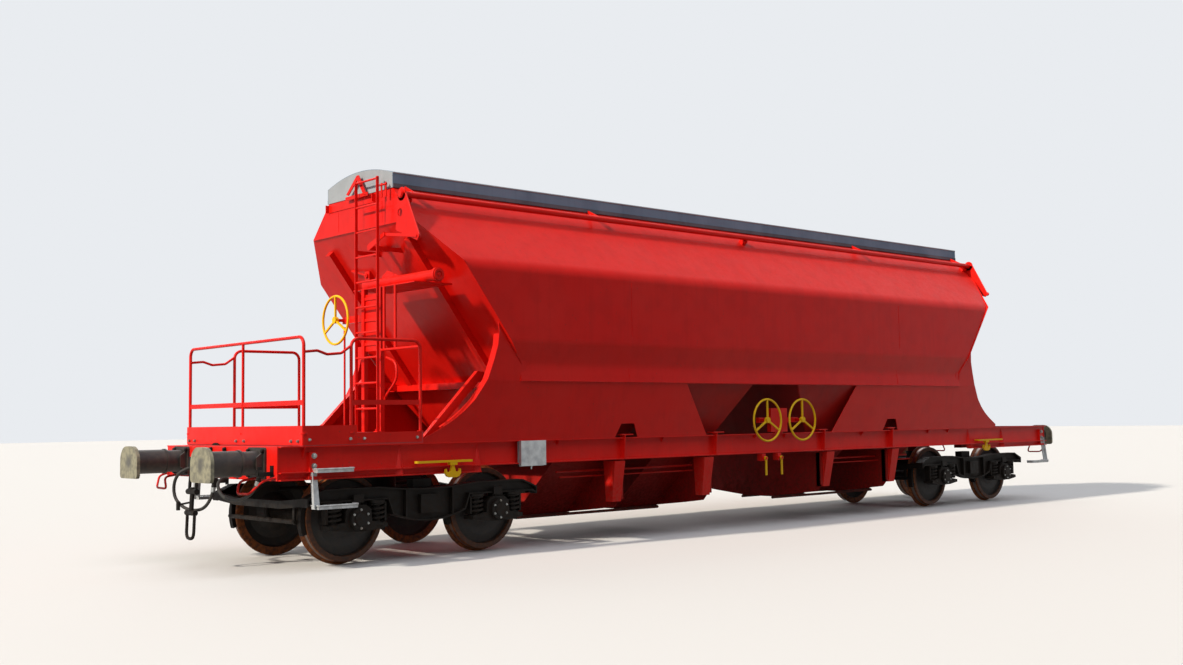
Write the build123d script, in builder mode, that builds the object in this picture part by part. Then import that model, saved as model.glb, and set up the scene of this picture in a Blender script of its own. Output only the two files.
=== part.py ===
"""Covered hopper wagon on two bogies: hollow body, turning roof, floor gates, underframe."""
import math
import os

from build123d import *

os.makedirs("parts", exist_ok=True)

# Driving sizes in millimetres: X runs along the wagon, the platform end is at -X, Z is up
RAIL_TOP = 30.0          # rail top over the flange tips, which touch the floor
LENGTH_BUFFERS = 15800.0  # over the buffer faces
BUFFER_LEN = 600.0       # headstock face to buffer face
BOLSTER_BACK = 1920.0    # headstock face to bogie centre
WHEELBASE = 1800.0       # of one bogie
WHEEL_D = 920.0          # on the tread
FLANGE_H = RAIL_TOP      # flange below the tread
BACK_TO_BACK = 1360.0    # between the wheels' inner faces
RIM_W = 135.0
BUFFER_Z = RAIL_TOP + 1060.0
BUFFER_Y = 875.0
GAP = 0.3                # between pieces of different bodies that bear on each other

# Body shell
WALL = 8.0               # hopper sheet
TOP_Y = 690.0            # hopper mouth edge
TOP_Z = RAIL_TOP + 4035.0
SIDE_Y = 1500.0          # half width of the body
SHOULDER_Z = RAIL_TOP + 3166.0
TUCK_Z = RAIL_TOP + 2330.0
NECK_Y = 1425.0
NECK_Z = RAIL_TOP + 2065.0
SKIRT_Y = 1450.0
SKIRT_Z = RAIL_TOP + 1885.0
BEND_R = 220.0
END_BACK = 1700.0        # headstock face to the end wall's upper upright part
END_FOLD_Z = RAIL_TOP + 3650.0
END_FOOT_Z = RAIL_TOP + 1014.3   # foot of the end slope, on the outer funnels
STRIP_REACH = 150.0      # side sheet's lower strip past the end slope
FUNNEL_Y = 980.0         # side slope: upper steep part ends here
FUNNEL_Z = RAIL_TOP + 930.0
OUTLET_Y = 250.0
OUTLET_Z = RAIL_TOP + 290.0
SADDLE_RISE = 1.327      # rise of a cross saddle for each unit of run
EDGE_LIP = 14.0          # end wall plate past the side sheets

# Underframe
SILL_Y = 1320.0          # outer edge of the side sill flanges
SILL_WEB_Y = 1262.0      # outer face of the sill web
SILL_T = 10.0
SILL_TOP = RAIL_TOP + 1223.0
SILL_BOTTOM = RAIL_TOP + 960.0
SILL_DEEP = RAIL_TOP + 890.0   # bottom of the deeper ends
SILL_STEP_BACK = 500.0         # bogie centre to where the sill gets deeper
HEAD_Y = 1270.0
HEAD_T = 14.0
CENTRE_SILL_Y = 170.0
PIVOT_Z = RAIL_TOP + 830.0

# Funnels along X, one row each side of the middle, two in each half of the wagon
SLOPE_REACH = 2000.0     # end wall's head to the outer funnel's outer wall
OUTER_FUNNEL = 856.0     # length of the funnel nearer the end
INNER_FUNNEL = 770.0
FUNNEL_GAP = 794.0       # between the two of one half
POST_Y = 1215.0          # outer edge of the funnel webs
POST_LOW = RAIL_TOP + 480.0

# Platform end
DECK_Z = RAIL_TOP + 1340.0
DECK_BACK = 250.0        # headstock face to the deck's front edge
DECK_Y = 1315.0
RAIL_R = 17.0
HANDRAIL_Z = RAIL_TOP + 2300.0
MIDRAIL_Z = RAIL_TOP + 1650.0

# Roof and its shaft
ROOF_PLAY = 10.0         # between the lid's skirt and the mouth edge
ROOF_BASE = TOP_Z
ROOF_EAVE = RAIL_TOP + 4205.0
ROOF_CROWN = RAIL_TOP + 4318.0
ROOF_T = 6.0
COAMING_H = 100.0
SHAFT_Y = -931.0
SHAFT_Z = RAIL_TOP + 3924.0
SHAFT_R = 35.0
SHAFT_PAST = 70.0        # shaft past the end wall
LEVER_GAP = 34.0         # end wall to lever plate
LEVER_T = 12.0

# Places along the wagon that follow from the sizes above
HEAD_X = LENGTH_BUFFERS / 2 - BUFFER_LEN
BOLSTER_X = HEAD_X - BOLSTER_BACK
END_X = HEAD_X - END_BACK
SILL_STEP_X = BOLSTER_X - SILL_STEP_BACK
DECK_X0 = HEAD_X - DECK_BACK
FUNNEL_END = END_X - SLOPE_REACH
OUTER_FROM = FUNNEL_END - OUTER_FUNNEL
INNER_TO = OUTER_FROM - FUNNEL_GAP
INNER_FROM = INNER_TO - INNER_FUNNEL
FUNNELS = ((INNER_FROM, INNER_TO), (OUTER_FROM, FUNNEL_END))
END_RUN = (END_X - FUNNEL_END - WALL - 2.0) / (END_FOLD_Z - END_FOOT_Z)
ROOF_HALF_W = TOP_Y + ROOF_PLAY
ROOF_HALF_L = END_X + 3.0 + ROOF_T
SHAFT_L = END_X + SHAFT_PAST
LEVER_X = END_X + LEVER_GAP + LEVER_T / 2


def mirrored(points):
    """Close a half section with its mirror image about Y = 0."""
    return tuple(points) + tuple((-y, z) for y, z in reversed(tuple(points)))


def inset(points, d):
    """Half section moved inward by d square to each run, its ends kept at their heights."""
    runs = []
    for (y0, z0), (y1, z1) in zip(points, points[1:]):
        size = math.hypot(y1 - y0, z1 - z0)
        runs.append(((y1 - y0) / size, (z1 - z0) / size))
    shifted = []
    for i, (y, z) in enumerate(points):
        a = runs[max(i - 1, 0)]
        b = runs[min(i, len(runs) - 1)]
        if i in (0, len(points) - 1):
            shifted.append((y - d / abs(a[1]) if i else y - d / abs(b[1]), z))
            continue
        na = (a[1], -a[0])
        nb = (b[1], -b[0])
        k = d / (1 + na[0] * nb[0] + na[1] * nb[1])
        shifted.append((y + k * (na[0] + nb[0]), z + k * (na[1] + nb[1])))
    return shifted


def width_at(points, z):
    """Half width of a half section at a height."""
    for (y0, z0), (y1, z1) in zip(points, points[1:]):
        if z1 <= z <= z0:
            return y0 + (y1 - y0) * (z0 - z) / (z0 - z1)
    return points[-1][0]


def end_x(z):
    """Place of the end wall's outer face at a height."""
    return END_X - max(0.0, END_FOLD_Z - z) * END_RUN


SIDE_END_X = end_x(SKIRT_Z) + STRIP_REACH
DECK_X1 = SIDE_END_X + 1222.0    # behind the foot of the wings


def cord_wire(points):
    """Straight runs joined by arcs as large as the runs allow."""
    pts = [Vector(*p) for p in points]
    edges = []
    start = pts[0]
    for a, b, c in zip(pts, pts[1:], pts[2:]):
        u = (a - b).normalized()
        v = (c - b).normalized()
        cut = 0.45 * min((a - b).length, (c - b).length)
        p, q = b + u * cut, b + v * cut
        half = (math.pi - u.get_angle(v) * math.pi / 180) / 2
        radius = cut / math.tan(half)
        centre_dir = (u + v).normalized()
        mid = b + centre_dir * (math.hypot(cut, radius) - radius)
        edges += [Edge.make_line(start, p), Edge.make_three_point_arc(p, mid, q)]
        start = q
    edges.append(Edge.make_line(start, pts[-1]))
    return Wire(edges)


def save(piece, name):
    piece.label = name
    export_step(piece, f"parts/{name}.step")


SIDE = ((TOP_Y, TOP_Z), (SIDE_Y, SHOULDER_Z), (SIDE_Y, TUCK_Z), (NECK_Y, NECK_Z), (SKIRT_Y, SKIRT_Z))
SIDE_IN = inset(SIDE, WALL)
SLOPE_Y = SKIRT_Y - 45.0
SLOPE = ((SLOPE_Y, SKIRT_Z - WALL), (FUNNEL_Y, FUNNEL_Z), (OUTLET_Y + WALL, OUTLET_Z))
SLOPE_IN = inset(SLOPE, WALL)
END_NORM = math.hypot(1, END_RUN)
END_T = WALL * END_NORM           # end slope's thickness measured along X
END_LOW = END_FOLD_Z - (END_X - FUNNEL_END - END_T) / END_RUN
FOLD_IN = END_FOLD_Z + WALL * (END_NORM - 1) / END_RUN

# Side sheets, bent to the body's section, with a lip that the slopes and aprons hang from, and
# flat shoulder sheets above them, joined square to the sheet just above the upper bend
SHEET_JOINT = 130.0
run = Vector(SIDE_Y - TOP_Y, SHOULDER_Z - TOP_Z).normalized()
joint = Vector(SIDE_Y, SHOULDER_Z) - run * SHEET_JOINT
across = Vector(run.Y, -run.X)
SHEETS = {"side_wall": (-1500.0, 200.0), "shoulder_sheet": (4000.0, 4000.0)}
for name, s, (far, wide) in [(f"{kind}_{side}", s, cut) for kind, cut in SHEETS.items()
                             for side, s in (("right", -1), ("left", 1))]:
    with BuildPart() as side_wall:
        with BuildSketch(Plane.YZ.offset(-END_X)):
            with BuildLine():
                FilletPolyline(*[(s * y, z) for y, z in SIDE], radius=BEND_R)
                FilletPolyline(*[(s * y, z) for y, z in SIDE_IN], radius=BEND_R)
                Line((s * SIDE[0][0], TOP_Z), (s * SIDE_IN[0][0], TOP_Z))
                Line((s * SIDE[-1][0], SKIRT_Z), (s * SIDE_IN[-1][0], SKIRT_Z))
            make_face()
        extrude(amount=2 * END_X)
        with BuildSketch(Plane.YZ.offset(-END_X)):
            corners = (joint - across * wide, joint + across * wide,
                       joint + across * wide + run * far, joint - across * wide + run * far)
            with BuildLine():
                Polyline(*[(s * corner.X, corner.Y) for corner in corners], close=True)
            make_face()
        extrude(amount=2 * END_X, mode=Mode.SUBTRACT)
        with BuildSketch(Plane.XZ.offset(-2 * SIDE_Y)):
            for e in (-1, 1):
                with BuildLine():
                    Polyline(
                        (e * (END_X - WALL), TOP_Z + 100),
                        (e * (END_X - WALL), FOLD_IN),
                        (e * (end_x(NECK_Z) - END_T), NECK_Z),
                        (e * SIDE_END_X, NECK_Z - 60),
                        (e * SIDE_END_X, SKIRT_Z - 100),
                        (e * (END_X + 100), SKIRT_Z - 100),
                        (e * (END_X + 100), TOP_Z + 100),
                        close=True,
                    )
                make_face()
        extrude(amount=4 * SIDE_Y, mode=Mode.SUBTRACT)
        if name.startswith("side_wall"):
            with BuildSketch(Plane.XY.offset(SKIRT_Z - WALL)):
                with Locations((0, s * (SKIRT_Y + SLOPE_Y - 14) / 2)):
                    Rectangle(2 * SIDE_END_X, SKIRT_Y - SLOPE_Y + 14)
            extrude(amount=WALL)
    save(side_wall.part, name)

# End walls: upright head, then the slope down to the outer funnels
for name, e in (("end_wall_brake", -1), ("end_wall_plain", 1)):
    with BuildPart() as end_wall:
        with BuildSketch(Plane.XZ.offset(-SIDE_Y - EDGE_LIP)):
            with BuildLine():
                Polyline(
                    (e * END_X, TOP_Z),
                    (e * END_X, END_FOLD_Z),
                    (e * (FUNNEL_END + END_T), END_LOW),
                    (e * FUNNEL_END, END_LOW),
                    (e * (END_X - WALL), FOLD_IN),
                    (e * (END_X - WALL), TOP_Z),
                    close=True,
                )
            make_face()
        extrude(amount=2 * (SIDE_Y + EDGE_LIP))
        with BuildSketch(Plane.YZ.offset(-END_X - 50)):
            with BuildLine():
                Polyline(*mirrored([
                    (TOP_Y, TOP_Z),
                    (TOP_Y + EDGE_LIP, TOP_Z - EDGE_LIP),
                    (SIDE_Y + EDGE_LIP, SHOULDER_Z + 5),
                    (SIDE_Y + EDGE_LIP, TUCK_Z),
                    (NECK_Y + EDGE_LIP, NECK_Z + 2),
                    (SIDE_IN[3][0], NECK_Z + 2),
                    (SIDE_IN[3][0], NECK_Z),
                    (SIDE_IN[4][0], SKIRT_Z),
                    (SLOPE_Y - 14, SKIRT_Z),
                    (SLOPE_Y - 14, SKIRT_Z - WALL),
                    SLOPE[0],
                    SLOPE[1],
                ]), close=True)
            make_face()
        extrude(amount=2 * END_X + 100, mode=Mode.INTERSECT)
    save(end_wall.part, name)

# Mouth frame that the roof closes on
COAMING_X = ROOF_HALF_L - ROOF_T - 34.0
COAMING_Y = ROOF_HALF_W - ROOF_T - 30.0
with BuildPart() as mouth_frame:
    with BuildSketch(Plane.XY.offset(TOP_Z)):
        Rectangle(2 * END_X - 8, 2 * TOP_Y - 8)
        Rectangle(2 * (COAMING_X - WALL), 2 * (COAMING_Y - WALL), mode=Mode.SUBTRACT)
    extrude(amount=10)
    with BuildSketch(Plane.XY.offset(TOP_Z)):
        Rectangle(2 * COAMING_X, 2 * COAMING_Y)
        Rectangle(2 * (COAMING_X - WALL), 2 * (COAMING_Y - WALL), mode=Mode.SUBTRACT)
    extrude(amount=COAMING_H)
save(mouth_frame.part, "mouth_frame")

# Side slopes under the skirt, down to the floor outlets
for name, s in (("side_slope_right", -1), ("side_slope_left", 1)):
    with BuildPart() as side_slope:
        with BuildSketch(Plane.YZ.offset(-END_X)):
            with BuildLine():
                Polyline(*[(s * y, z) for y, z in SLOPE],
                         *[(s * y, z) for y, z in reversed(SLOPE_IN)], close=True)
            make_face()
        extrude(amount=2 * END_X)
        with BuildSketch(Plane.XZ.offset(-SIDE_Y)):
            with BuildLine():
                Polyline(
                    (-end_x(SKIRT_Z) + END_T, SKIRT_Z),
                    (-FUNNEL_END, END_LOW),
                    (-FUNNEL_END, 0),
                    (FUNNEL_END, 0),
                    (FUNNEL_END, END_LOW),
                    (end_x(SKIRT_Z) - END_T, SKIRT_Z),
                    close=True,
                )
            make_face()
        extrude(amount=2 * SIDE_Y, mode=Mode.INTERSECT)
        gaps = ((-FUNNELS[1][0], -FUNNELS[0][1]), (-FUNNELS[0][0], FUNNELS[0][0]),
                (FUNNELS[0][1], FUNNELS[1][0]))
        with BuildSketch(Plane.XZ.offset(-SIDE_Y)):
            for x0, x1 in gaps:
                with BuildLine():
                    Polyline(
                        (x0, 0),
                        (x0, FUNNEL_Z),
                        ((x0 + x1) / 2, FUNNEL_Z + (x1 - x0) / 2 * SADDLE_RISE),
                        (x1, FUNNEL_Z),
                        (x1, 0),
                        close=True,
                    )
                make_face()
        extrude(amount=2 * SIDE_Y, mode=Mode.SUBTRACT)
    save(side_slope.part, name)

# Cross saddles between the funnels
SADDLE_T = WALL * math.hypot(1, 1 / SADDLE_RISE)   # thickness along X
with BuildPart() as saddles:
    for x0, x1 in gaps:
        half = (x1 - x0) / 2
        mid = (x0 + x1) / 2
        with BuildSketch(Plane.XZ.offset(-SIDE_Y)):
            with BuildLine():
                Polyline(
                    (x0, FUNNEL_Z),
                    (mid, FUNNEL_Z + half * SADDLE_RISE),
                    (x1, FUNNEL_Z),
                    (x1 - SADDLE_T, FUNNEL_Z),
                    (mid, FUNNEL_Z + (half - SADDLE_T) * SADDLE_RISE),
                    (x0 + SADDLE_T, FUNNEL_Z),
                    close=True,
                )
            make_face()
        extrude(amount=2 * SIDE_Y)
    with BuildSketch(Plane.YZ.offset(-FUNNEL_END)):
        with BuildLine():
            for s in (-1, 1):
                FilletPolyline((s * SIDE_IN[1][0], SHOULDER_Z), (s * SIDE_IN[2][0], SIDE_IN[2][1]),
                               (s * SIDE_IN[3][0], SIDE_IN[3][1]), (s * SIDE_IN[4][0], SKIRT_Z),
                               radius=BEND_R)
                Polyline((s * SIDE_IN[4][0], SKIRT_Z), (s * (SLOPE_Y - 14), SKIRT_Z),
                         (s * (SLOPE_Y - 14), SKIRT_Z - WALL), (s * SLOPE_IN[0][0], SLOPE_IN[0][1]),
                         (s * SLOPE_IN[1][0], SLOPE_IN[1][1]), (s * SLOPE_IN[1][0], FUNNEL_Z - 5))
            Line((-SLOPE_IN[1][0], FUNNEL_Z - 5), (SLOPE_IN[1][0], FUNNEL_Z - 5))
            Line((-SIDE_IN[1][0], SHOULDER_Z), (SIDE_IN[1][0], SHOULDER_Z))
        make_face()
    extrude(amount=2 * FUNNEL_END, mode=Mode.INTERSECT)
save(saddles.part, "saddles")

# Cross walls that close the funnels and stand out past the slopes as webs with posts
WEB = (
    (POST_Y, FUNNEL_Z),
    (POST_Y, POST_LOW),
    (1130.0, RAIL_TOP + 385),
    (800.0, RAIL_TOP + 345),
    (OUTLET_Y + WALL, OUTLET_Z),
)
for name, e in (("cross_walls_brake", -1), ("cross_walls_plain", 1)):
    with BuildPart() as cross_walls:
        for i, (inner, outer) in enumerate(FUNNELS):
            with BuildSketch(Plane.YZ.offset(min(e * inner, e * (inner - WALL)))):
                with BuildLine():
                    Polyline(*mirrored(WEB), close=True)
                make_face()
            extrude(amount=WALL)
            head = [(width_at(SLOPE, END_LOW), END_LOW)] if i else []
            with BuildSketch(Plane.YZ.offset(min(e * outer, e * (outer + WALL)))):
                with BuildLine():
                    Polyline(*mirrored([*head, SLOPE[1], SLOPE[2]]), close=True)
                make_face()
            extrude(amount=WALL)
            for s in (-1, 1):
                with BuildSketch(Plane.XY.offset(POST_LOW)):
                    with Locations((e * (inner - WALL / 2), s * (POST_Y + 10))):
                        Rectangle(90, 20)
                extrude(amount=FUNNEL_Z - POST_LOW)
                with BuildSketch(Plane.XY.offset(FUNNEL_Z)):
                    with Locations((e * (inner - WALL / 2), s * (POST_Y + (SILL_WEB_Y - SILL_T - POST_Y) / 2))):
                        Rectangle(90, SILL_WEB_Y - SILL_T - POST_Y)
                extrude(amount=SILL_BOTTOM + 120 - FUNNEL_Z)
    save(cross_walls.part, name)

# Apron plates with the swept wings at both ends: wing edge (past the side strip, over the rail)
WING_EDGE = (
    (320.0, 2400.0), (330.0, 2270.0), (380.0, 2104.0), (450.0, 1907.0),
    (525.0, 1790.0), (600.0, 1680.0), (725.0, 1560.0), (850.0, 1467.0), (980.0, 1390.0),
    (1220.0, 1270.0),
)
WING = [(SIDE_END_X + dx, RAIL_TOP + z) for dx, z in WING_EDGE]
WING_FOOT = WING[-1][0]
WING_TOP = RAIL_TOP + 2520.0
APRON_TOP = SKIRT_Z - WALL
APRON_LOW_Y = SILL_Y - 2.0
CENTRE_NOTCH = (INNER_FROM + 110, INNER_FROM + 570)   # half width at the sill and at the top
POST_NOTCH = (190.0, 105.0, 165.0)   # half width at the sill, at the top, height
POST_CAP_X = (FUNNELS[1][0] - 39.0)
for name, s in (("apron_right", -1), ("apron_left", 1)):
    with BuildPart() as apron:
        with BuildSketch(Plane.YZ.offset(-END_X - 100)):
            outer = ((SIDE_Y - 20, WING_TOP + 20), (SKIRT_Y - 16, SKIRT_Z), (APRON_LOW_Y, SILL_TOP))
            with BuildLine():
                Polyline(*[(s * y, z) for y, z in outer],
                         *[(s * y, z) for y, z in reversed(inset(outer, WALL))], close=True)
            make_face()
        extrude(amount=2 * END_X + 200)
        with BuildSketch(Plane.XZ.offset(-2 * SIDE_Y)):
            for e in (-1, 1):
                with BuildLine():
                    Polyline(
                        (0, SILL_TOP),
                        (0, APRON_TOP),
                        (e * (SIDE_END_X + 1), APRON_TOP),
                        (e * (SIDE_END_X + 1), NECK_Z + 4),
                        (e * (end_x(WING_TOP) + 2), WING_TOP),
                        *[(e * x, z) for x, z in WING],
                        (e * WING_FOOT, SILL_TOP),
                        close=True,
                    )
                make_face()
        extrude(amount=4 * SIDE_Y, mode=Mode.INTERSECT)
        with BuildSketch(Plane.XZ.offset(-2 * SIDE_Y)):
            low, high = CENTRE_NOTCH
            with BuildLine():
                Polyline((-low, SILL_TOP - 5), (-high, SKIRT_Z - 12), (high, SKIRT_Z - 12),
                         (low, SILL_TOP - 5), close=True)
            make_face()
            low, high, tall = POST_NOTCH
            for c in (-POST_CAP_X, POST_CAP_X):
                with BuildLine():
                    Polyline((c - low, SILL_TOP - 5), (c - high, SILL_TOP + tall),
                             (c + high, SILL_TOP + tall), (c + low, SILL_TOP - 5), close=True)
                make_face()
        extrude(amount=4 * SIDE_Y, mode=Mode.SUBTRACT)
    save(apron.part, name)

# Roof: arched skin with skirts
with BuildPart() as roof_skin:
    with BuildSketch(Plane.YZ.offset(-ROOF_HALF_L)):
        for d, mode in ((0, Mode.ADD), (ROOF_T, Mode.SUBTRACT)):
            with BuildLine():
                Polyline((ROOF_HALF_W - d, ROOF_EAVE), (ROOF_HALF_W - d, ROOF_BASE),
                         (-ROOF_HALF_W + d, ROOF_BASE), (-ROOF_HALF_W + d, ROOF_EAVE))
                ThreePointArc((-ROOF_HALF_W + d, ROOF_EAVE), (0, ROOF_CROWN - d),
                              (ROOF_HALF_W - d, ROOF_EAVE))
            make_face(mode=mode)
    extrude(amount=2 * ROOF_HALF_L)
save(roof_skin.part, "roof_skin")

# Roof ends and the seal rail that rests on the mouth frame
with BuildPart() as roof_ends:
    for x in (-ROOF_HALF_L, ROOF_HALF_L - ROOF_T):
        with BuildSketch(Plane.YZ.offset(x)):
            d = ROOF_T
            with BuildLine():
                Polyline((ROOF_HALF_W - d, ROOF_EAVE), (ROOF_HALF_W - d, ROOF_BASE),
                         (-ROOF_HALF_W + d, ROOF_BASE), (-ROOF_HALF_W + d, ROOF_EAVE))
                ThreePointArc((-ROOF_HALF_W + d, ROOF_EAVE), (0, ROOF_CROWN - d),
                              (ROOF_HALF_W - d, ROOF_EAVE))
            make_face()
        extrude(amount=ROOF_T)
    with BuildSketch(Plane.XY.offset(TOP_Z + COAMING_H + GAP)):
        Rectangle(2 * (ROOF_HALF_L - ROOF_T), 2 * (ROOF_HALF_W - ROOF_T))
        Rectangle(2 * (COAMING_X - 20), 2 * (COAMING_Y - 20), mode=Mode.SUBTRACT)
    extrude(amount=24)
save(roof_ends.part, "roof_ends")

# Shaft with the arms that carry the roof, the levers that turn it and the levers' tie rods
LEVER_PIN = (SHAFT_Y - 304.0, SHAFT_Z - 497.0)
ARM_PIN = (SHAFT_Y + 326.0, SHAFT_Z - 405.0)
with BuildPart() as roof_shaft:
    with BuildSketch(Plane.YZ.offset(-SHAFT_L)):
        with Locations((SHAFT_Y, SHAFT_Z)):
            Circle(SHAFT_R)
    extrude(amount=2 * SHAFT_L)
    arm_x = END_X - 150.0
    for x in (-arm_x, -arm_x / 2, arm_x / 2, arm_x):
        with BuildSketch(Plane.YZ.offset(x - 12)):
            with BuildLine():
                Polyline((SHAFT_Y, SHAFT_Z - 30), (SHAFT_Y, SHAFT_Z + 30),
                         (-ROOF_HALF_W, ROOF_BASE + 110), (-ROOF_HALF_W, ROOF_BASE + 40),
                         close=True)
            make_face()
        extrude(amount=24)
    for e in (-1, 1):
        with BuildSketch(Plane.YZ.offset(e * LEVER_X - LEVER_T / 2)):
            with BuildLine():
                Polyline((SHAFT_Y + 75, SHAFT_Z), (SHAFT_Y + 115, SHAFT_Z - 380),
                         (LEVER_PIN[0] + 10, LEVER_PIN[1] - 40), (LEVER_PIN[0] - 40, LEVER_PIN[1] - 10),
                         (SHAFT_Y - 75, SHAFT_Z), close=True)
            make_face()
            with Locations((SHAFT_Y, SHAFT_Z)):
                Circle(75)
            with Locations((SHAFT_Y + 30, SHAFT_Z - 200)):
                Circle(45, mode=Mode.SUBTRACT)
        extrude(amount=LEVER_T)
        with BuildSketch(Plane.YZ.offset(e * LEVER_X)):
            with Locations(LEVER_PIN):
                Circle(14)
        extrude(amount=e * (LEVER_T / 2 + 18))
        with BuildSketch(Plane.YZ.offset(e * (LEVER_X + LEVER_T / 2 + 4))):
            with BuildLine():
                Polyline((LEVER_PIN[0] - 20, LEVER_PIN[1] - 16), (ARM_PIN[0], ARM_PIN[1] - 16),
                         (ARM_PIN[0], ARM_PIN[1] + 16), (LEVER_PIN[0] - 20, LEVER_PIN[1] + 16),
                         close=True)
            make_face()
        extrude(amount=e * 12)
save(roof_shaft.part, "roof_shaft")

# Blocks on the shoulder that carry the shaft
fall = Vector(0, -(SIDE_Y - TOP_Y), SHOULDER_Z - TOP_Z).normalized()
square = Vector(0, fall.Z, -fall.Y)
rel = Vector(0, SHAFT_Y + TOP_Y, SHAFT_Z - TOP_Z)
foot = Vector(0, -TOP_Y, TOP_Z) + fall * rel.dot(fall)
with BuildPart() as shaft_blocks:
    for x in (60.0 - END_X, 0, END_X - 60.0):
        with BuildSketch(Plane(origin=(x, foot.Y, foot.Z), x_dir=(1, 0, 0), z_dir=(0, square.Y, square.Z))):
            Rectangle(70, 80)
        extrude(amount=rel.dot(square) - SHAFT_R - GAP)
save(shaft_blocks.part, "shaft_blocks")

# Side sills with flanges, deeper ends, stiffeners, and caps at the posts
for name, s in (("sole_bar_right", -1), ("sole_bar_left", 1)):
    with BuildPart() as sole_bar:
        with BuildSketch(Plane.YZ.offset(-HEAD_X + HEAD_T)):
            with Locations((s * (SILL_WEB_Y - SILL_T / 2), (SILL_TOP + SILL_BOTTOM) / 2)):
                Rectangle(SILL_T, SILL_TOP - SILL_BOTTOM)
            for z in (SILL_TOP - 6, SILL_BOTTOM + 6):
                with Locations((s * (SILL_Y + SILL_WEB_Y) / 2, z)):
                    Rectangle(SILL_Y - SILL_WEB_Y, 12)
        extrude(amount=2 * (HEAD_X - HEAD_T))
        for e in (-1, 1):
            span = HEAD_X - HEAD_T - SILL_STEP_X
            with BuildSketch(Plane.YZ.offset(min(e * SILL_STEP_X, e * (SILL_STEP_X + span)))):
                with Locations((s * (SILL_WEB_Y - SILL_T / 2), (SILL_BOTTOM + SILL_DEEP) / 2)):
                    Rectangle(SILL_T, SILL_BOTTOM - SILL_DEEP)
                with Locations((s * (SILL_Y + SILL_WEB_Y) / 2, SILL_DEEP + 6)):
                    Rectangle(SILL_Y - SILL_WEB_Y, 12)
            extrude(amount=span)
            for x in (DECK_X0 - 1147, SILL_STEP_X + 15):
                with BuildSketch(Plane.YZ.offset(e * x - 6)):
                    with BuildLine():
                        Polyline((s * SILL_WEB_Y, SILL_TOP - 20), (s * SILL_Y, SILL_DEEP + 10),
                                 (s * SILL_WEB_Y, SILL_DEEP + 10), close=True)
                    make_face()
                extrude(amount=12)
            for x in (FUNNELS[1][0], FUNNELS[0][0] - 63):
                with BuildSketch(Plane.YZ.offset(e * x - 7)):
                    with BuildLine():
                        Polyline((s * SILL_WEB_Y, SILL_TOP - 12), (s * SILL_WEB_Y, SILL_BOTTOM + 12),
                                 (s * (SILL_Y + 8), SILL_BOTTOM + 4), (s * (SILL_Y + 22), SILL_TOP + 26),
                                 (s * SILL_WEB_Y, SILL_TOP + 26), close=True)
                    make_face()
                extrude(amount=14)
                with BuildSketch(Plane.XY.offset(SILL_TOP + 26)):
                    with Locations((e * (x - 39), s * (SILL_Y - 45))):
                        Rectangle(190, 130)
                extrude(amount=14)
    save(sole_bar.part, name)

# Headstocks
for name, e in (("headstock_brake", -1), ("headstock_plain", 1)):
    with BuildPart() as headstock:
        with BuildSketch(Plane.YZ.offset(min(e * HEAD_X, e * (HEAD_X - HEAD_T)))):
            with Locations((0, (SILL_TOP + SILL_DEEP) / 2)):
                Rectangle(2 * HEAD_Y, SILL_TOP - SILL_DEEP)
        extrude(amount=HEAD_T)
        for z in (SILL_DEEP, SILL_TOP - HEAD_T):
            with BuildSketch(Plane.XY.offset(z)):
                with Locations((e * (HEAD_X - 80), 0)):
                    Rectangle(160, 2 * (SILL_WEB_Y - SILL_T))
            extrude(amount=HEAD_T)
    save(headstock.part, name)

# Centre sills over the bogies, and bolsters and cross members between them and the side sills
SILL_START = end_x(SILL_TOP) + 30
CROSS_W = 100.0
BOLSTER_W = 420.0
BEAM_OUT = SILL_WEB_Y - SILL_T
with BuildPart() as centre_sills:
    for e in (-1, 1):
        for s in (-1, 1):
            with BuildSketch(Plane.XZ.offset(-s * CENTRE_SILL_Y)):
                with Locations((e * (HEAD_X - 160 + SILL_START) / 2, (SILL_TOP + SILL_BOTTOM) / 2)):
                    Rectangle(HEAD_X - 160 - SILL_START, SILL_TOP - SILL_BOTTOM)
            extrude(amount=s * 12)
save(centre_sills.part, "centre_sills")

# Box beams in three lengths, between and outside the centre sills: (middle in Y, length)
SPANS = (
    (0.0, 2 * CENTRE_SILL_Y - 24), ((BEAM_OUT + CENTRE_SILL_Y) / 2, BEAM_OUT - CENTRE_SILL_Y),
    (-(BEAM_OUT + CENTRE_SILL_Y) / 2, BEAM_OUT - CENTRE_SILL_Y),
)
BEAMS = {
    "cross_members": (CROSS_W, (SILL_START + CROSS_W / 2, HEAD_X - 900)),
    "bolsters": (BOLSTER_W, (BOLSTER_X,)),
}
for name, (width, places) in BEAMS.items():
    with BuildPart() as beams:
        for x in [e * place for e in (-1, 1) for place in places]:
            with BuildSketch(Plane.XY.offset(SILL_BOTTOM)):
                for y, span in SPANS:
                    with Locations((x, y)):
                        Rectangle(width, span)
                        Rectangle(width - 24, span, mode=Mode.SUBTRACT)
            extrude(amount=SILL_TOP - SILL_BOTTOM)
            with BuildSketch(Plane.XY.offset(SILL_BOTTOM)):
                for y, span in SPANS:
                    with Locations((x, y)):
                        Rectangle(width, span)
            extrude(amount=12)
        if name == "bolsters":
            for x in (-BOLSTER_X, BOLSTER_X):
                with BuildSketch(Plane.XY.offset(SILL_BOTTOM - 14)):
                    with Locations((x, 0)):
                        Rectangle(BOLSTER_W, 2 * BEAM_OUT)
                extrude(amount=14)
                with BuildSketch(Plane.XY.offset(PIVOT_Z + GAP)):
                    with Locations((x, 0)):
                        Circle(170)
                extrude(amount=SILL_BOTTOM - 14 - PIVOT_Z - GAP)
                with BuildSketch(Plane.XY.offset(PIVOT_Z + 60)):
                    with Locations((x, -850), (x, 850)):
                        Rectangle(260, 140)
                extrude(amount=SILL_BOTTOM - 14 - PIVOT_Z - 60)
    save(beams.part, name)

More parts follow.
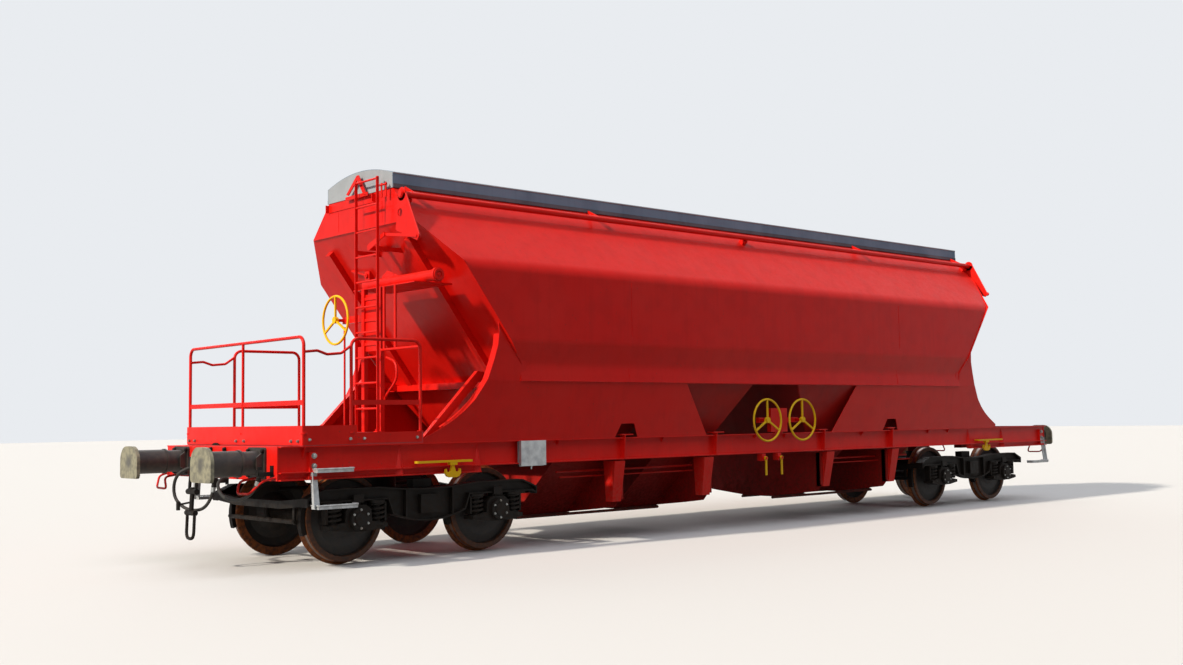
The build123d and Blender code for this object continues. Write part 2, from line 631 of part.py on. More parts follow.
# Buffers: foot, base tube, plunger sleeve with its ring, and plate
PLATE_T = 36.0
for name, e in (("buffers_brake", -1), ("buffers_plain", 1)):
    with BuildPart() as buffers:
        for y in (-BUFFER_Y, BUFFER_Y):
            with BuildSketch(Plane.YZ.offset(e * HEAD_X)):
                with Locations((y, BUFFER_Z)):
                    RectangleRounded(360, 310, 30)
            extrude(amount=e * 22)
            for reach, past, radius in ((22, 200, 118), (200, 222, 134), (222, BUFFER_LEN - PLATE_T, 127)):
                with BuildSketch(Plane.YZ.offset(e * (HEAD_X + reach))):
                    with Locations((y, BUFFER_Z)):
                        Circle(radius)
                extrude(amount=e * (past - reach))
            for dy in (-140, 140):
                with BuildSketch(Plane.XZ.offset(-y - dy - 8)):
                    x = e * (HEAD_X + 22)
                    with BuildLine():
                        Polyline((x, BUFFER_Z - 110), (x, BUFFER_Z + 110), (x + e * 70, BUFFER_Z + 60),
                                 (x + e * 70, BUFFER_Z - 60), close=True)
                    make_face()
                extrude(amount=16)
            with BuildSketch(Plane.YZ.offset(e * (HEAD_X + BUFFER_LEN - PLATE_T))) as plate:
                with Locations((y, BUFFER_Z)):
                    Rectangle(450, 340)
                top = plate.vertices().group_by(Axis.Y)[-1]
                fillet(top, radius=160)
                low = plate.vertices().group_by(Axis.Y)[0]
                fillet(low, radius=45)
            extrude(amount=e * PLATE_T)
    save(buffers.part, name)

# Draw hooks with their plates
with BuildPart() as draw_hooks:
    for e in (-1, 1):
        with BuildSketch(Plane.YZ.offset(e * HEAD_X)):
            with Locations((0, BUFFER_Z - 20)):
                RectangleRounded(300, 240, 20)
        extrude(amount=e * 20)
        with BuildSketch(Plane.XZ.offset(-30)):
            x = e * (HEAD_X + 20)
            with BuildLine():
                Polyline((x, BUFFER_Z + 15), (x + e * 180, BUFFER_Z + 15), (x + e * 230, BUFFER_Z + 60),
                         (x + e * 290, BUFFER_Z + 60), (x + e * 300, BUFFER_Z - 40),
                         (x + e * 240, BUFFER_Z - 100), (x + e * 150, BUFFER_Z - 90),
                         (x + e * 100, BUFFER_Z - 60), (x, BUFFER_Z - 60), close=True)
            make_face()
        extrude(amount=60)
save(draw_hooks.part, "draw_hooks")

# Brake hoses at the platform end: cocks, holders for their heads, and the hoses between
HOSE_R = 17.0
HOSES = {
    "hose_left": (
        (60.0, 300.0, 1020.0), (240.0, 330.0, 990.0), (270.0, 480.0, 870.0), (260.0, 500.0, 690.0),
        (240.0, 330.0, 590.0), (220.0, 110.0, 560.0), (190.0, -90.0, 590.0), (160.0, -200.0, 720.0),
        (150.0, -210.0, 810.0),
    ),
    "hose_right": (
        (60.0, -430.0, 940.0), (230.0, -440.0, 900.0), (250.0, -560.0, 750.0), (220.0, -760.0, 690.0),
        (190.0, -960.0, 720.0), (160.0, -1120.0, 800.0), (150.0, -1170.0, 900.0),
    ),
}
with BuildPart() as brake_cocks:
    for points in HOSES.values():
        route = [Vector(-HEAD_X - x, y, RAIL_TOP + z) for x, y, z in points]
        out = (route[1] - route[0]).normalized()
        with BuildSketch(Plane(origin=route[0], z_dir=out)):
            Circle(HOSE_R + 6)
        extrude(amount=-45)
        with BuildSketch(Plane.YZ.offset(-HEAD_X)):
            with Locations((route[0].Y, route[0].Z)):
                Circle(32)
        extrude(amount=-34)
        into = (route[-1] - route[-2]).normalized()
        with BuildSketch(Plane(origin=route[-1], z_dir=into)):
            Circle(HOSE_R + 8)
        extrude(amount=70)
        with BuildSketch(Plane.YZ.offset(route[-1].X)):
            with Locations((route[-1].Y, route[-1].Z + 60)):
                Rectangle(44, 40)
        extrude(amount=-HEAD_X - route[-1].X)
        with BuildSketch(Plane.YZ.offset(-HEAD_X)):
            with Locations((route[-1].Y, route[-1].Z + 80)):
                Rectangle(60, 120)
        extrude(amount=-10)
save(brake_cocks.part, "brake_cocks")

for name, points in HOSES.items():
    route = [(-HEAD_X - x, y, RAIL_TOP + z) for x, y, z in points]
    with BuildPart() as hose:
        with BuildSketch(Plane(origin=route[0], z_dir=Vector(*route[1]) - Vector(*route[0]))):
            Circle(HOSE_R)
        sweep(path=cord_wire(route))
    save(hose.part, name)

# Platform deck at the brake end
DECK_MID = -(DECK_X0 + DECK_X1) / 2
with BuildPart() as platform:
    with BuildSketch(Plane.XY.offset(SILL_TOP)):
        with Locations((DECK_MID, 0)):
            Rectangle(DECK_X0 - DECK_X1, 2 * DECK_Y)
            Rectangle(DECK_X0 - DECK_X1 - 24, 2 * DECK_Y - 24, mode=Mode.SUBTRACT)
    extrude(amount=DECK_Z - SILL_TOP)
    with BuildSketch(Plane.XY.offset(DECK_Z - 8)):
        with Locations((DECK_MID, 0)):
            Rectangle(DECK_X0 - DECK_X1, 2 * DECK_Y)
    extrude(amount=8)
save(platform.part, "platform")

# Handrails round the platform: a front frame and one on each side
RAIL_BEND = 90.0
LADDER_Y = (-85.0, -533.0)
FRONT_X = -DECK_X0 + 20
POST_IN = DECK_Y - 20
REAR_POST_X = -DECK_X1 - 20
GATE_POST_X = REAR_POST_X - 835
with BuildPart() as handrails:
    with BuildLine(Plane.YZ.offset(FRONT_X)) as front_path:
        FilletPolyline((-POST_IN, DECK_Z), (-POST_IN, HANDRAIL_Z), (POST_IN, HANDRAIL_Z),
                       (POST_IN, DECK_Z), radius=RAIL_BEND)
    with BuildSketch(Plane.XY.offset(DECK_Z)):
        with Locations((FRONT_X, -POST_IN)):
            Circle(RAIL_R)
    sweep(path=front_path.wire())
    with BuildSketch(Plane.XY.offset(DECK_Z)):
        with Locations((FRONT_X, 0)):
            Circle(RAIL_R - 2)
    extrude(amount=HANDRAIL_Z - DECK_Z)
    with BuildSketch(Plane.XZ.offset(-POST_IN)):
        with Locations((FRONT_X, MIDRAIL_Z)):
            Rectangle(12, 50)
    extrude(amount=2 * POST_IN)
    for s in (-1, 1):
        with BuildLine(Plane.XZ.offset(-s * POST_IN)) as side_path:
            FilletPolyline((GATE_POST_X, DECK_Z), (GATE_POST_X, HANDRAIL_Z),
                           (REAR_POST_X, HANDRAIL_Z), (REAR_POST_X, DECK_Z), radius=RAIL_BEND)
        with BuildSketch(Plane.XY.offset(DECK_Z)):
            with Locations((GATE_POST_X, s * POST_IN)):
                Circle(RAIL_R)
        sweep(path=side_path.wire())
        with BuildSketch(Plane.YZ.offset(GATE_POST_X)):
            with Locations((s * POST_IN, MIDRAIL_Z)):
                Rectangle(12, 50)
        extrude(amount=REAR_POST_X - GATE_POST_X)
        with BuildLine(Plane.XZ.offset(-s * POST_IN)) as bar_path:
            FilletPolyline((FRONT_X, RAIL_TOP + 2150), (FRONT_X + 150, RAIL_TOP + 2165),
                           (FRONT_X + 260, RAIL_TOP + 2130), (FRONT_X + 420, RAIL_TOP + 2145),
                           (GATE_POST_X, RAIL_TOP + 2225), radius=60)
        with BuildSketch(Plane.YZ.offset(FRONT_X)):
            with Locations((s * POST_IN, RAIL_TOP + 2150)):
                Circle(RAIL_R - 3)
        sweep(path=bar_path.wire())
    for z, r in ((HANDRAIL_Z - 60, RAIL_R - 2), (MIDRAIL_Z, RAIL_R - 5)):
        with BuildSketch(Plane.XZ.offset(POST_IN)):
            with Locations((REAR_POST_X, z)):
                Circle(r)
        extrude(amount=-(POST_IN + LADDER_Y[1] - 6))
    for y in (-822, -600):
        with BuildSketch(Plane.XY.offset(HANDRAIL_Z - 60)):
            with Locations((REAR_POST_X, y)):
                Circle(RAIL_R)
        extrude(amount=RAIL_TOP + 2938 - HANDRAIL_Z + 60)
save(handrails.part, "handrails")

# Ladder up the brake end
LADDER_X = END_X + 100
with BuildPart() as ladder:
    for y in LADDER_Y:
        with BuildSketch(Plane.XY.offset(DECK_Z)):
            with Locations((-LADDER_X, y)):
                Rectangle(34, 12)
        extrude(amount=RAIL_TOP + 4170 - DECK_Z)
        for z in (3340,):
            with BuildSketch(Plane.XZ.offset(-y - 6)):
                with BuildLine():
                    Polyline((-end_x(RAIL_TOP + z), RAIL_TOP + z), (-LADDER_X, RAIL_TOP + z),
                             (-LADDER_X, RAIL_TOP + z + 50),
                             (-end_x(RAIL_TOP + z + 50), RAIL_TOP + z + 50), close=True)
                make_face()
            extrude(amount=12)
    for i in range(10):
        with BuildSketch(Plane.XZ.offset(-LADDER_Y[0])):
            with Locations((-LADDER_X, RAIL_TOP + 1598 + 284 * i)):
                Circle(12)
        extrude(amount=LADDER_Y[0] - LADDER_Y[1])
save(ladder.part, "ladder")

# Hand brake wheel on the platform end
WHEEL_R = 290.0


def spoked_wheel(radius, rim, hub):
    """Three-spoked wheel in the XY plane, its hub along Z."""
    with BuildPart(mode=Mode.PRIVATE) as wheel:
        with BuildSketch(Plane.XZ):
            with Locations((radius - rim, 0)):
                Circle(rim)
        revolve(axis=Axis.Z)
        with BuildSketch(Plane.XY.offset(-hub * 0.6)):
            Circle(hub)
        extrude(amount=hub * 1.2)
        for k in range(3):
            with BuildSketch(Plane.XY.offset(-rim * 0.7)):
                with Locations(Location((0, 0, 0), (0, 0, 90 + 120 * k)) * Location((radius / 2, 0, 0))):
                    Rectangle(radius - 1.5 * rim, 1.6 * rim)
            extrude(amount=rim * 1.4)
    return wheel.part


BRAKE_Z = RAIL_TOP + 2620.0
BRAKE_Y = 270.0
BRAKE_X = END_X + 160
HUB_R = 38.0
brake_wheel = Plane(origin=(-BRAKE_X, BRAKE_Y, BRAKE_Z), x_dir=(0, -1, 0), z_dir=(-1, 0, 0)).location * \
    spoked_wheel(WHEEL_R, 14, HUB_R)
save(brake_wheel, "brake_wheel")

# Gear on the brake end: columns with a board, cross tube on its ledge, bearing of the brake wheel
COLUMN_X = END_X + 25
TUBE_X = END_X - 120
TUBE_Z = RAIL_TOP + 3010
TUBE_R = 60.0
LEDGE_Z = RAIL_TOP + 2938
RIB_D = 90.0
with BuildPart() as end_gear:
    with BuildSketch(Plane.XZ.offset(1385)):
        with Locations((-TUBE_X, TUBE_Z)):
            Circle(TUBE_R + 14)
    extrude(amount=-50)
    with BuildSketch(Plane.XZ.offset(1335)):
        with Locations((-TUBE_X, TUBE_Z)):
            Circle(TUBE_R)
    extrude(amount=-1395)
    with BuildSketch(Plane.XZ.offset(1180)):
        z = LEDGE_Z
        with BuildLine():
            Polyline((-COLUMN_X - 25, z), (-end_x(z) - RIB_D, z), (-end_x(z + 12) - RIB_D, z + 12),
                     (-COLUMN_X - 25, z + 12), close=True)
        make_face()
    extrude(amount=-1240)
    with BuildSketch(Plane.XZ.offset(1180)):
        with Locations((-TUBE_X, LEDGE_Z + 12)):
            Rectangle(50, 2 * (TUBE_Z - TUBE_R - LEDGE_Z - 12) + 8)
    extrude(amount=-1240)
    for y in (-140, -480):
        with BuildSketch(Plane.XY.offset(DECK_Z)):
            with Locations((-COLUMN_X, y)):
                Rectangle(50, 60)
        extrude(amount=LEDGE_Z - DECK_Z)
    with BuildSketch(Plane.YZ.offset(-COLUMN_X - 5)):
        with Locations((-310, RAIL_TOP + 2560)):
            Rectangle(280, 640)
    extrude(amount=10)
    with BuildSketch(Plane.YZ.offset(-BRAKE_X + HUB_R * 0.6)):
        with Locations((BRAKE_Y, BRAKE_Z)):
            Circle(18)
    extrude(amount=BRAKE_X - HUB_R * 0.6 - COLUMN_X)
    with BuildSketch(Plane.XY.offset(BRAKE_Z - 40)):
        with Locations((-COLUMN_X, (BRAKE_Y - 110) / 2 + 15)):
            Rectangle(50, BRAKE_Y + 110 + 30)
    extrude(amount=80)
save(end_gear.part, "end_gear")

# End frames: ribs and header on the end wall, cross beam and braces, wing flanges, roof arms
BEAM_Z = RAIL_TOP + 1868.0
BEAM_H = 76.0
RIB_Y = 850.0
RIB_W = 100.0
FLANGE_W = 92.0
FLANGE_T = 10.0
WING_SECTION = ((SIDE_Y - 20, WING_TOP + 20), (SKIRT_Y - 16, SKIRT_Z), (APRON_LOW_Y, SILL_TOP))
for name, e in (("end_frame_brake", -1), ("end_frame_plain", 1)):
    with BuildPart() as end_frame:
        hi = END_FOLD_Z - 160
        lo = BEAM_Z + BEAM_H / 2
        for y in (-RIB_Y, RIB_Y):
            with BuildSketch(Plane.XZ.offset(-y - RIB_W / 2)):
                with BuildLine():
                    Polyline((e * end_x(hi), hi), (e * (end_x(hi - 50) + RIB_D), hi - 50),
                             (e * (end_x(lo) + RIB_D), lo), (e * end_x(lo), lo), close=True)
                make_face()
            extrude(amount=RIB_W)
        with BuildSketch(Plane.XZ.offset(-SLOPE_Y + 18)):
            low, high = BEAM_Z - BEAM_H / 2, BEAM_Z + BEAM_H / 2
            with BuildLine():
                Polyline((e * end_x(low), low), (e * end_x(high), high), (e * (end_x(high) + 80), high),
                         (e * (end_x(high) + 80), low), close=True)
            make_face()
        extrude(amount=2 * (SLOPE_Y - 18))
        with BuildSketch(Plane.XY.offset(TOP_Z - 110)):
            with Locations((e * (END_X + 25), 175)):
                Rectangle(50, 1020)
                with Locations((e * 9, 0)):
                    Rectangle(50, 1000, mode=Mode.SUBTRACT)
        extrude(amount=90)
        for s in (-1, 1):
            with BuildSketch(Plane.XZ.offset(-s * 1175 - 30)):
                with BuildLine():
                    Polyline((e * (end_x(BEAM_Z) + 40), low), (e * (end_x(BEAM_Z) + 40), high),
                             (e * (WING[3][0] - 30), WING[3][1] + 90), (e * (WING[-1][0] - 20), SILL_TOP),
                             (e * (WING[-1][0] - 130), SILL_TOP), (e * (WING[3][0] - 45), WING[3][1] - 30),
                             close=True)
                make_face()
            extrude(amount=60)
        with BuildSketch(Plane.YZ.offset(e * (END_X + 64))):
            with BuildLine():
                Polyline((-300, SHAFT_Z - 480), (ARM_PIN[0] - 20, ARM_PIN[1] + 22),
                         (ARM_PIN[0] - 20, ARM_PIN[1] - 22), (-300, SHAFT_Z - 560), close=True)
            make_face()
        extrude(amount=e * 10)
        with BuildSketch(Plane.YZ.offset(e * (END_X + 74))):
            with Locations((-300, SHAFT_Z - 520)):
                Circle(32)
        extrude(amount=-e * (74 + END_X - end_x(SHAFT_Z - 560) + 10))
        with BuildSketch(Plane.XZ.offset(-SIDE_Y)):
            with BuildLine():
                Polyline((0, 0), (0, TOP_Z + 9), (e * END_X, TOP_Z + 9), (e * END_X, END_FOLD_Z),
                         (e * end_x(0), 0), close=True)
            make_face()
        extrude(amount=2 * SIDE_Y, mode=Mode.SUBTRACT)
    save(end_frame.part, name)

# Flanges along the wings' swept edges
with BuildPart() as wing_flanges:
    inner = inset(WING, FLANGE_T)
    with BuildSketch(Plane.XZ.offset(-2 * SIDE_Y)):
        for e in (-1, 1):
            with BuildLine():
                Polyline(*[(e * x, z) for x, z in WING[:-1]],
                         *[(e * x, z) for x, z in reversed(inner[:-1])], close=True)
            make_face()
    extrude(amount=4 * SIDE_Y)
    near = inset(WING_SECTION, WALL)
    far = inset(WING_SECTION, WALL + FLANGE_W)
    with BuildSketch(Plane.YZ.offset(-2 * END_X)):
        for s in (-1, 1):
            with BuildLine():
                Polyline(*[(s * y, z) for y, z in near], *[(s * y, z) for y, z in reversed(far)],
                         close=True)
            make_face()
    extrude(amount=4 * END_X, mode=Mode.INTERSECT)
save(wing_flanges.part, "wing_flanges")

# Steps: two treads on a hanger at the platform end, one at the far end
STEP_REACH = 150.0
with BuildPart() as steps:
    for e, xa, treads in ((-1, HEAD_X - 620, (607, 965)), (1, HEAD_X - 400, (607,))):
        for s in (-1, 1):
            for z in treads:
                with BuildSketch(Plane.XY.offset(RAIL_TOP + z)):
                    with Locations((e * xa, s * (SILL_Y + STEP_REACH / 2))):
                        Rectangle(440, STEP_REACH)
                extrude(amount=30)
            with BuildSketch(Plane.XY.offset(RAIL_TOP + 607)):
                with Locations((e * (xa + 240), s * (SILL_Y + 7))):
                    Rectangle(50, 14)
            extrude(amount=SILL_TOP - 60 - RAIL_TOP - 607)
save(steps.part, "steps")

# Side handwheels, their gear plate and posts on the sill
GEAR_X = 130.0
SIDE_WHEEL_Z = RAIL_TOP + 1400.0
WHEEL_GAP = 365.0
SIDE_WHEEL_Y = 1440.0
side_wheels = []
for s in (-1, 1):
    for dx in (-WHEEL_GAP, WHEEL_GAP):
        side_wheels.append(
            Plane(origin=(-s * GEAR_X + dx, s * SIDE_WHEEL_Y, SIDE_WHEEL_Z), x_dir=(1, 0, 0),
                  z_dir=(0, s, 0)).location * spoked_wheel(WHEEL_R, 14, HUB_R))
save(Compound(children=side_wheels), "side_wheels")

with BuildPart() as gear_boxes:
    for s in (-1, 1):
        cx = -s * GEAR_X
        with BuildSketch(Plane.XY.offset(SIDE_WHEEL_Z - 160)):
            with Locations((cx, s * (SILL_Y - 20))):
                Rectangle(340, 70)
        extrude(amount=320)
        with BuildSketch(Plane.XY.offset(SILL_TOP)):
            with Locations((cx, s * (SILL_Y - 20))):
                Rectangle(160, 50)
        extrude(amount=SIDE_WHEEL_Z - 160 - SILL_TOP)
        for dx in (-WHEEL_GAP, WHEEL_GAP):
            with BuildSketch(Plane.XZ.offset(-s * (SIDE_WHEEL_Y - HUB_R * 0.6))):
                with Locations((cx + dx, SIDE_WHEEL_Z)):
                    Circle(22)
            extrude(amount=s * (SIDE_WHEEL_Y - HUB_R * 0.6 - SILL_Y + 20))
        with BuildSketch(Plane.YZ.offset(cx - WHEEL_GAP - 40)):
            with Locations((s * (SILL_Y - 20), SIDE_WHEEL_Z)):
                Rectangle(50, 70)
        extrude(amount=2 * WHEEL_GAP + 80)
save(gear_boxes.part, "gear_boxes")

# Rope hooks on the sills
with BuildPart() as rope_hooks:
    for s in (-1, 1):
        for e in (-1, 1):
            with BuildSketch(Plane.XY.offset(RAIL_TOP + 1035)):
                with Locations((e * (BOLSTER_X + 20), s * (SILL_Y + 30))):
                    Rectangle(760, 60)
            extrude(amount=14)
            with BuildSketch(Plane.XZ.offset(-s * (SILL_Y + 30) - 10)):
                with BuildLine():
                    x = e * BOLSTER_X
                    Polyline((x - e * 150, RAIL_TOP + 1035), (x - e * 30, RAIL_TOP + 1035),
                             (x - e * 50, RAIL_TOP + 900), (x + e * 20, RAIL_TOP + 850),
                             (x - e * 200, RAIL_TOP + 850), (x - e * 130, RAIL_TOP + 900), close=True)
                make_face()
            extrude(amount=20)
            with BuildSketch(Plane.XY.offset(RAIL_TOP + 1000)):
                with Locations((e * (BOLSTER_X + 20), s * (SILL_WEB_Y + SILL_Y + 20) / 2)):
                    Rectangle(240, SILL_Y + 20 - SILL_WEB_Y)
            extrude(amount=36)
save(rope_hooks.part, "rope_hooks")

# Document box
with BuildPart() as document_box:
    with BuildSketch(Plane.YZ.offset(1020 - BOLSTER_X)):
        with Locations((-SILL_Y - 20, RAIL_TOP + 1076)):
            Rectangle(40, 280)
    extrude(amount=360)
save(document_box.part, "document_box")

# Floor gates: two flaps on one shaft for each half of the floor and each side
GATE_T = 8.0
GATE_Z = OUTLET_Z - GAP
GATE_HINGE_Y = OUTLET_Y + 40.0
GATE_HINGE_Z = GATE_Z - 24.0
for name, sx, sy in (("gate_brake_right", -1, -1), ("gate_brake_left", -1, 1),
                     ("gate_plain_right", 1, -1), ("gate_plain_left", 1, 1)):
    with BuildPart() as gate:
        for inner, outer in FUNNELS:
            with BuildSketch(Plane.XY.offset(GATE_Z - GATE_T)):
                with Locations((sx * (inner + outer) / 2, sy * (GATE_HINGE_Y + 6) / 2)):
                    Rectangle(outer - inner, GATE_HINGE_Y - 6)
            extrude(amount=GATE_T)
        x0 = FUNNELS[0][0]
        x1 = FUNNELS[1][1]
        with BuildSketch(Plane.YZ.offset(min(sx * x0, sx * x1))):
            with Locations((sy * GATE_HINGE_Y, GATE_HINGE_Z)):
                Circle(18)
        extrude(amount=x1 - x0)
    save(gate.part, name)

# Bogie frames: belly-shaped side frames, bolster with pivot bowl, end beams, brake blocks
AXLE_Z = RAIL_TOP + WHEEL_D / 2
FRAME_Y = 1000.0
FRAME_W = 130.0
FRAME_L = 1480.0         # half length
HORN_Z = RAIL_TOP + 640.0
BLOCK_Y = BACK_TO_BACK / 2 + 90
BLOCK_GAP = 6.0
for name, e in (("bogie_frame_brake", -1), ("bogie_frame_plain", 1)):
    cx = e * BOLSTER_X
    with BuildPart() as bogie_frame:
        for y in (-FRAME_Y, FRAME_Y):
            for width, ring in ((FRAME_W, True), (16.0, False)):
                with BuildSketch(Plane.XZ.offset(-y - width / 2)) as side:
                    with BuildLine():
                        Polyline((cx - 470, RAIL_TOP + 480), (cx - 530, HORN_Z), (cx - FRAME_L + 60, HORN_Z),
                                 (cx - FRAME_L, RAIL_TOP + 600), (cx - FRAME_L, RAIL_TOP + 690),
                                 (cx - FRAME_L + 200, RAIL_TOP + 775), (cx - 620, RAIL_TOP + 775))
                        ThreePointArc((cx - 620, RAIL_TOP + 775), (cx, RAIL_TOP + 735),
                                      (cx + 620, RAIL_TOP + 775))
                        Polyline((cx + 620, RAIL_TOP + 775), (cx + FRAME_L - 200, RAIL_TOP + 775),
                                 (cx + FRAME_L, RAIL_TOP + 690), (cx + FRAME_L, RAIL_TOP + 600),
                                 (cx + FRAME_L - 60, HORN_Z), (cx + 530, HORN_Z),
                                 (cx + 470, RAIL_TOP + 480))
                        ThreePointArc((cx + 470, RAIL_TOP + 480), (cx, RAIL_TOP + 385),
                                      (cx - 470, RAIL_TOP + 480))
                    make_face()
                    if ring:
                        offset(side.faces(), amount=-16, kind=Kind.INTERSECTION, mode=Mode.SUBTRACT)
                extrude(amount=width)
        with BuildSketch(Plane.XY.offset(RAIL_TOP + 500)):
            with Locations((cx, 0)):
                Rectangle(380, 2 * FRAME_Y - 16)
        extrude(amount=210)
        with BuildSketch(Plane.XY.offset(RAIL_TOP + 710)):
            with Locations((cx, 0)):
                Circle(210)
            with Locations((cx, -850), (cx, 850)):
                Rectangle(240, 120)
        extrude(amount=PIVOT_Z - RAIL_TOP - 710)
        for a in (-1, 1):
            with BuildSketch(Plane.YZ.offset(cx + a * (FRAME_L - 70))):
                with BuildLine():
                    Polyline((-FRAME_Y, RAIL_TOP + 610), (-FRAME_Y, RAIL_TOP + 690),
                             (-500, RAIL_TOP + 650), (500, RAIL_TOP + 650),
                             (FRAME_Y, RAIL_TOP + 690), (FRAME_Y, RAIL_TOP + 610),
                             (500, RAIL_TOP + 570), (-500, RAIL_TOP + 570), close=True)
                make_face()
            extrude(amount=a * 70)
            for y in (-BLOCK_Y, BLOCK_Y):
                wx = cx + a * WHEELBASE / 2
                r0 = WHEEL_D / 2 + BLOCK_GAP
                for d in (-1, 1):
                    with BuildSketch(Plane.XZ.offset(-y - 35)):
                        arcs = [[(wx + d * r * math.cos(k), AXLE_Z + r * math.sin(k))
                                 for k in (-0.32, 0.0, 0.32)] for r in (r0, r0 + 48)]
                        with BuildLine():
                            ThreePointArc(*arcs[0])
                            ThreePointArc(*arcs[1])
                            Line(arcs[0][0], arcs[1][0])
                            Line(arcs[0][2], arcs[1][2])
                        make_face()
                    extrude(amount=70)
                    with BuildSketch(Plane.XZ.offset(-y - 12)):
                        x = wx + d * (r0 + 48)
                        with BuildLine():
                            if d == a:
                                far = cx + a * (FRAME_L - 70.2)
                                Polyline((x - d * 14, AXLE_Z - 60), (x - d * 14, AXLE_Z + 60),
                                         (far, RAIL_TOP + 660), (far, RAIL_TOP + 600), close=True)
                            else:
                                far = cx + a * 190.2
                                Polyline((x - d * 14, AXLE_Z - 60), (x - d * 14, AXLE_Z + 60),
                                         (far, RAIL_TOP + 640), (far, RAIL_TOP + 540), close=True)
                        make_face()
                    extrude(amount=24)
    save(bogie_frame.part, name)

# Axle boxes with their wings, covers and spring cores
BOX_END = FRAME_Y - 100.0
for name, e in (("axle_boxes_brake", -1), ("axle_boxes_plain", 1)):
    with BuildPart() as axle_boxes:
        for a in (-1, 1):
            for s in (-1, 1):
                x = e * BOLSTER_X + a * WHEELBASE / 2
                y = s * FRAME_Y
                with BuildSketch(Plane.XZ.offset(-y - 85)):
                    with BuildLine():
                        Polyline((x - 350, AXLE_Z - 100), (x - 350, AXLE_Z - 60), (x - 160, AXLE_Z - 30),
                                 (x - 150, AXLE_Z + 90), (x - 90, AXLE_Z + 140), (x + 90, AXLE_Z + 140),
                                 (x + 150, AXLE_Z + 90), (x + 160, AXLE_Z - 30), (x + 350, AXLE_Z - 60),
                                 (x + 350, AXLE_Z - 100), (x + 140, AXLE_Z - 130), (x - 140, AXLE_Z - 130),
                                 close=True)
                    make_face()
                extrude(amount=170)
                with BuildSketch(Plane.XZ.offset(-s * (FRAME_Y - 85))):
                    with Locations((x, AXLE_Z)):
                        Circle(118)
                extrude(amount=s * 15)
                with BuildSketch(Plane.XZ.offset(-s * (FRAME_Y + 85))):
                    with Locations((x, AXLE_Z)):
                        Circle(118)
                extrude(amount=-s * 42)
                with BuildSketch(Plane.XZ.offset(-s * (FRAME_Y + 127))):
                    with Locations((x, AXLE_Z)):
                        Circle(70)
                extrude(amount=-s * 14)
                with BuildSketch(Plane.XY.offset(AXLE_Z - 75)):
                    with Locations((x - 255, y), (x + 255, y)):
                        Circle(46)
                extrude(amount=HORN_Z - AXLE_Z + 75)
                with BuildSketch(Plane.XY.offset(AXLE_Z + 140)):
                    with Locations((x, y)):
                        Rectangle(90, 90)
                extrude(amount=HORN_Z - AXLE_Z - 140)
    save(axle_boxes.part, name)

# Wheelsets: two wheels turned to their profile, and the axle that they are pressed on
WHEEL_IN = BACK_TO_BACK / 2
JOURNAL_END = BOX_END - GAP
R = WHEEL_D / 2
SEAT_R = 95.0
WHEEL = (
    (SEAT_R, WHEEL_IN - 20), (135, WHEEL_IN - 20), (145, WHEEL_IN + 10), (215, WHEEL_IN + 62),
    (300, WHEEL_IN + 74), (R - 75, WHEEL_IN + 45), (R - 60, WHEEL_IN), (R + FLANGE_H - 10, WHEEL_IN),
    (R + FLANGE_H, WHEEL_IN + 9), (R + FLANGE_H, WHEEL_IN + 17), (R + 8, WHEEL_IN + 33),
    (R, WHEEL_IN + 48), (R - 3, WHEEL_IN + RIM_W - 6), (R - 9, WHEEL_IN + RIM_W),
    (R - 58, WHEEL_IN + RIM_W), (R - 72, WHEEL_IN + 78), (300, WHEEL_IN + 96),
    (210, WHEEL_IN + 92), (150, WHEEL_IN + 110), (138, WHEEL_IN + 150), (SEAT_R, WHEEL_IN + 150),
)
AXLE = (
    (0, 0), (80, 0), (80, WHEEL_IN - 80), (SEAT_R, WHEEL_IN - 30), (SEAT_R, WHEEL_IN + 155),
    (75, WHEEL_IN + 170), (65, JOURNAL_END), (0, JOURNAL_END),
)
AXLE_X = [a * BOLSTER_X + b * WHEELBASE / 2 for a in (-1, 1) for b in (-1, 1)]
for number, x in enumerate(AXLE_X, 1):
    for name, outline in (("wheels", WHEEL), ("axle", AXLE)):
        with BuildPart() as turned:
            with BuildSketch(Plane(origin=(x, 0, AXLE_Z), x_dir=(1, 0, 0), z_dir=(0, 0, 1))):
                with BuildLine():
                    Polyline(*outline, close=True)
                make_face()
            revolve(axis=Axis((x, 0, AXLE_Z), (0, 1, 0)))
            mirror(about=Plane.XZ)
        save(turned.part, f"{name}_{number}")
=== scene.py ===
import math

import bmesh
import bpy
from mathutils import Matrix, Vector


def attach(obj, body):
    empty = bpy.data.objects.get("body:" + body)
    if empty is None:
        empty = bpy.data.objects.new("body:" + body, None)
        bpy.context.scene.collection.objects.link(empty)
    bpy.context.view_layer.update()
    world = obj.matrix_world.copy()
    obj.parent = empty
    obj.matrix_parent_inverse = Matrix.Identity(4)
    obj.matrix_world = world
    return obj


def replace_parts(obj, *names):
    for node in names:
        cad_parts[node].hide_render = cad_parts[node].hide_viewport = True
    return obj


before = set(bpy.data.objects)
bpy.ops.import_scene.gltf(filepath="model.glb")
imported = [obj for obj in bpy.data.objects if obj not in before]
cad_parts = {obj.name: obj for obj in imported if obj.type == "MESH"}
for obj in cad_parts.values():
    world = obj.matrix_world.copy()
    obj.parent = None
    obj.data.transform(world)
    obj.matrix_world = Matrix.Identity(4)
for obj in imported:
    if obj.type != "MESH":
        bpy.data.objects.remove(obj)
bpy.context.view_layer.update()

# Main places of the wagon in metres: X along it with the platform at -X, Y to its left, Z up from the
# flange tips
RAIL = 0.030             # rail top
HEAD_X = 7.300           # headstock faces
BOLSTER_X = 5.380        # bogie centres
HALF_BASE = 0.900        # half of a bogie's wheelbase
AXLE_Z = 0.490
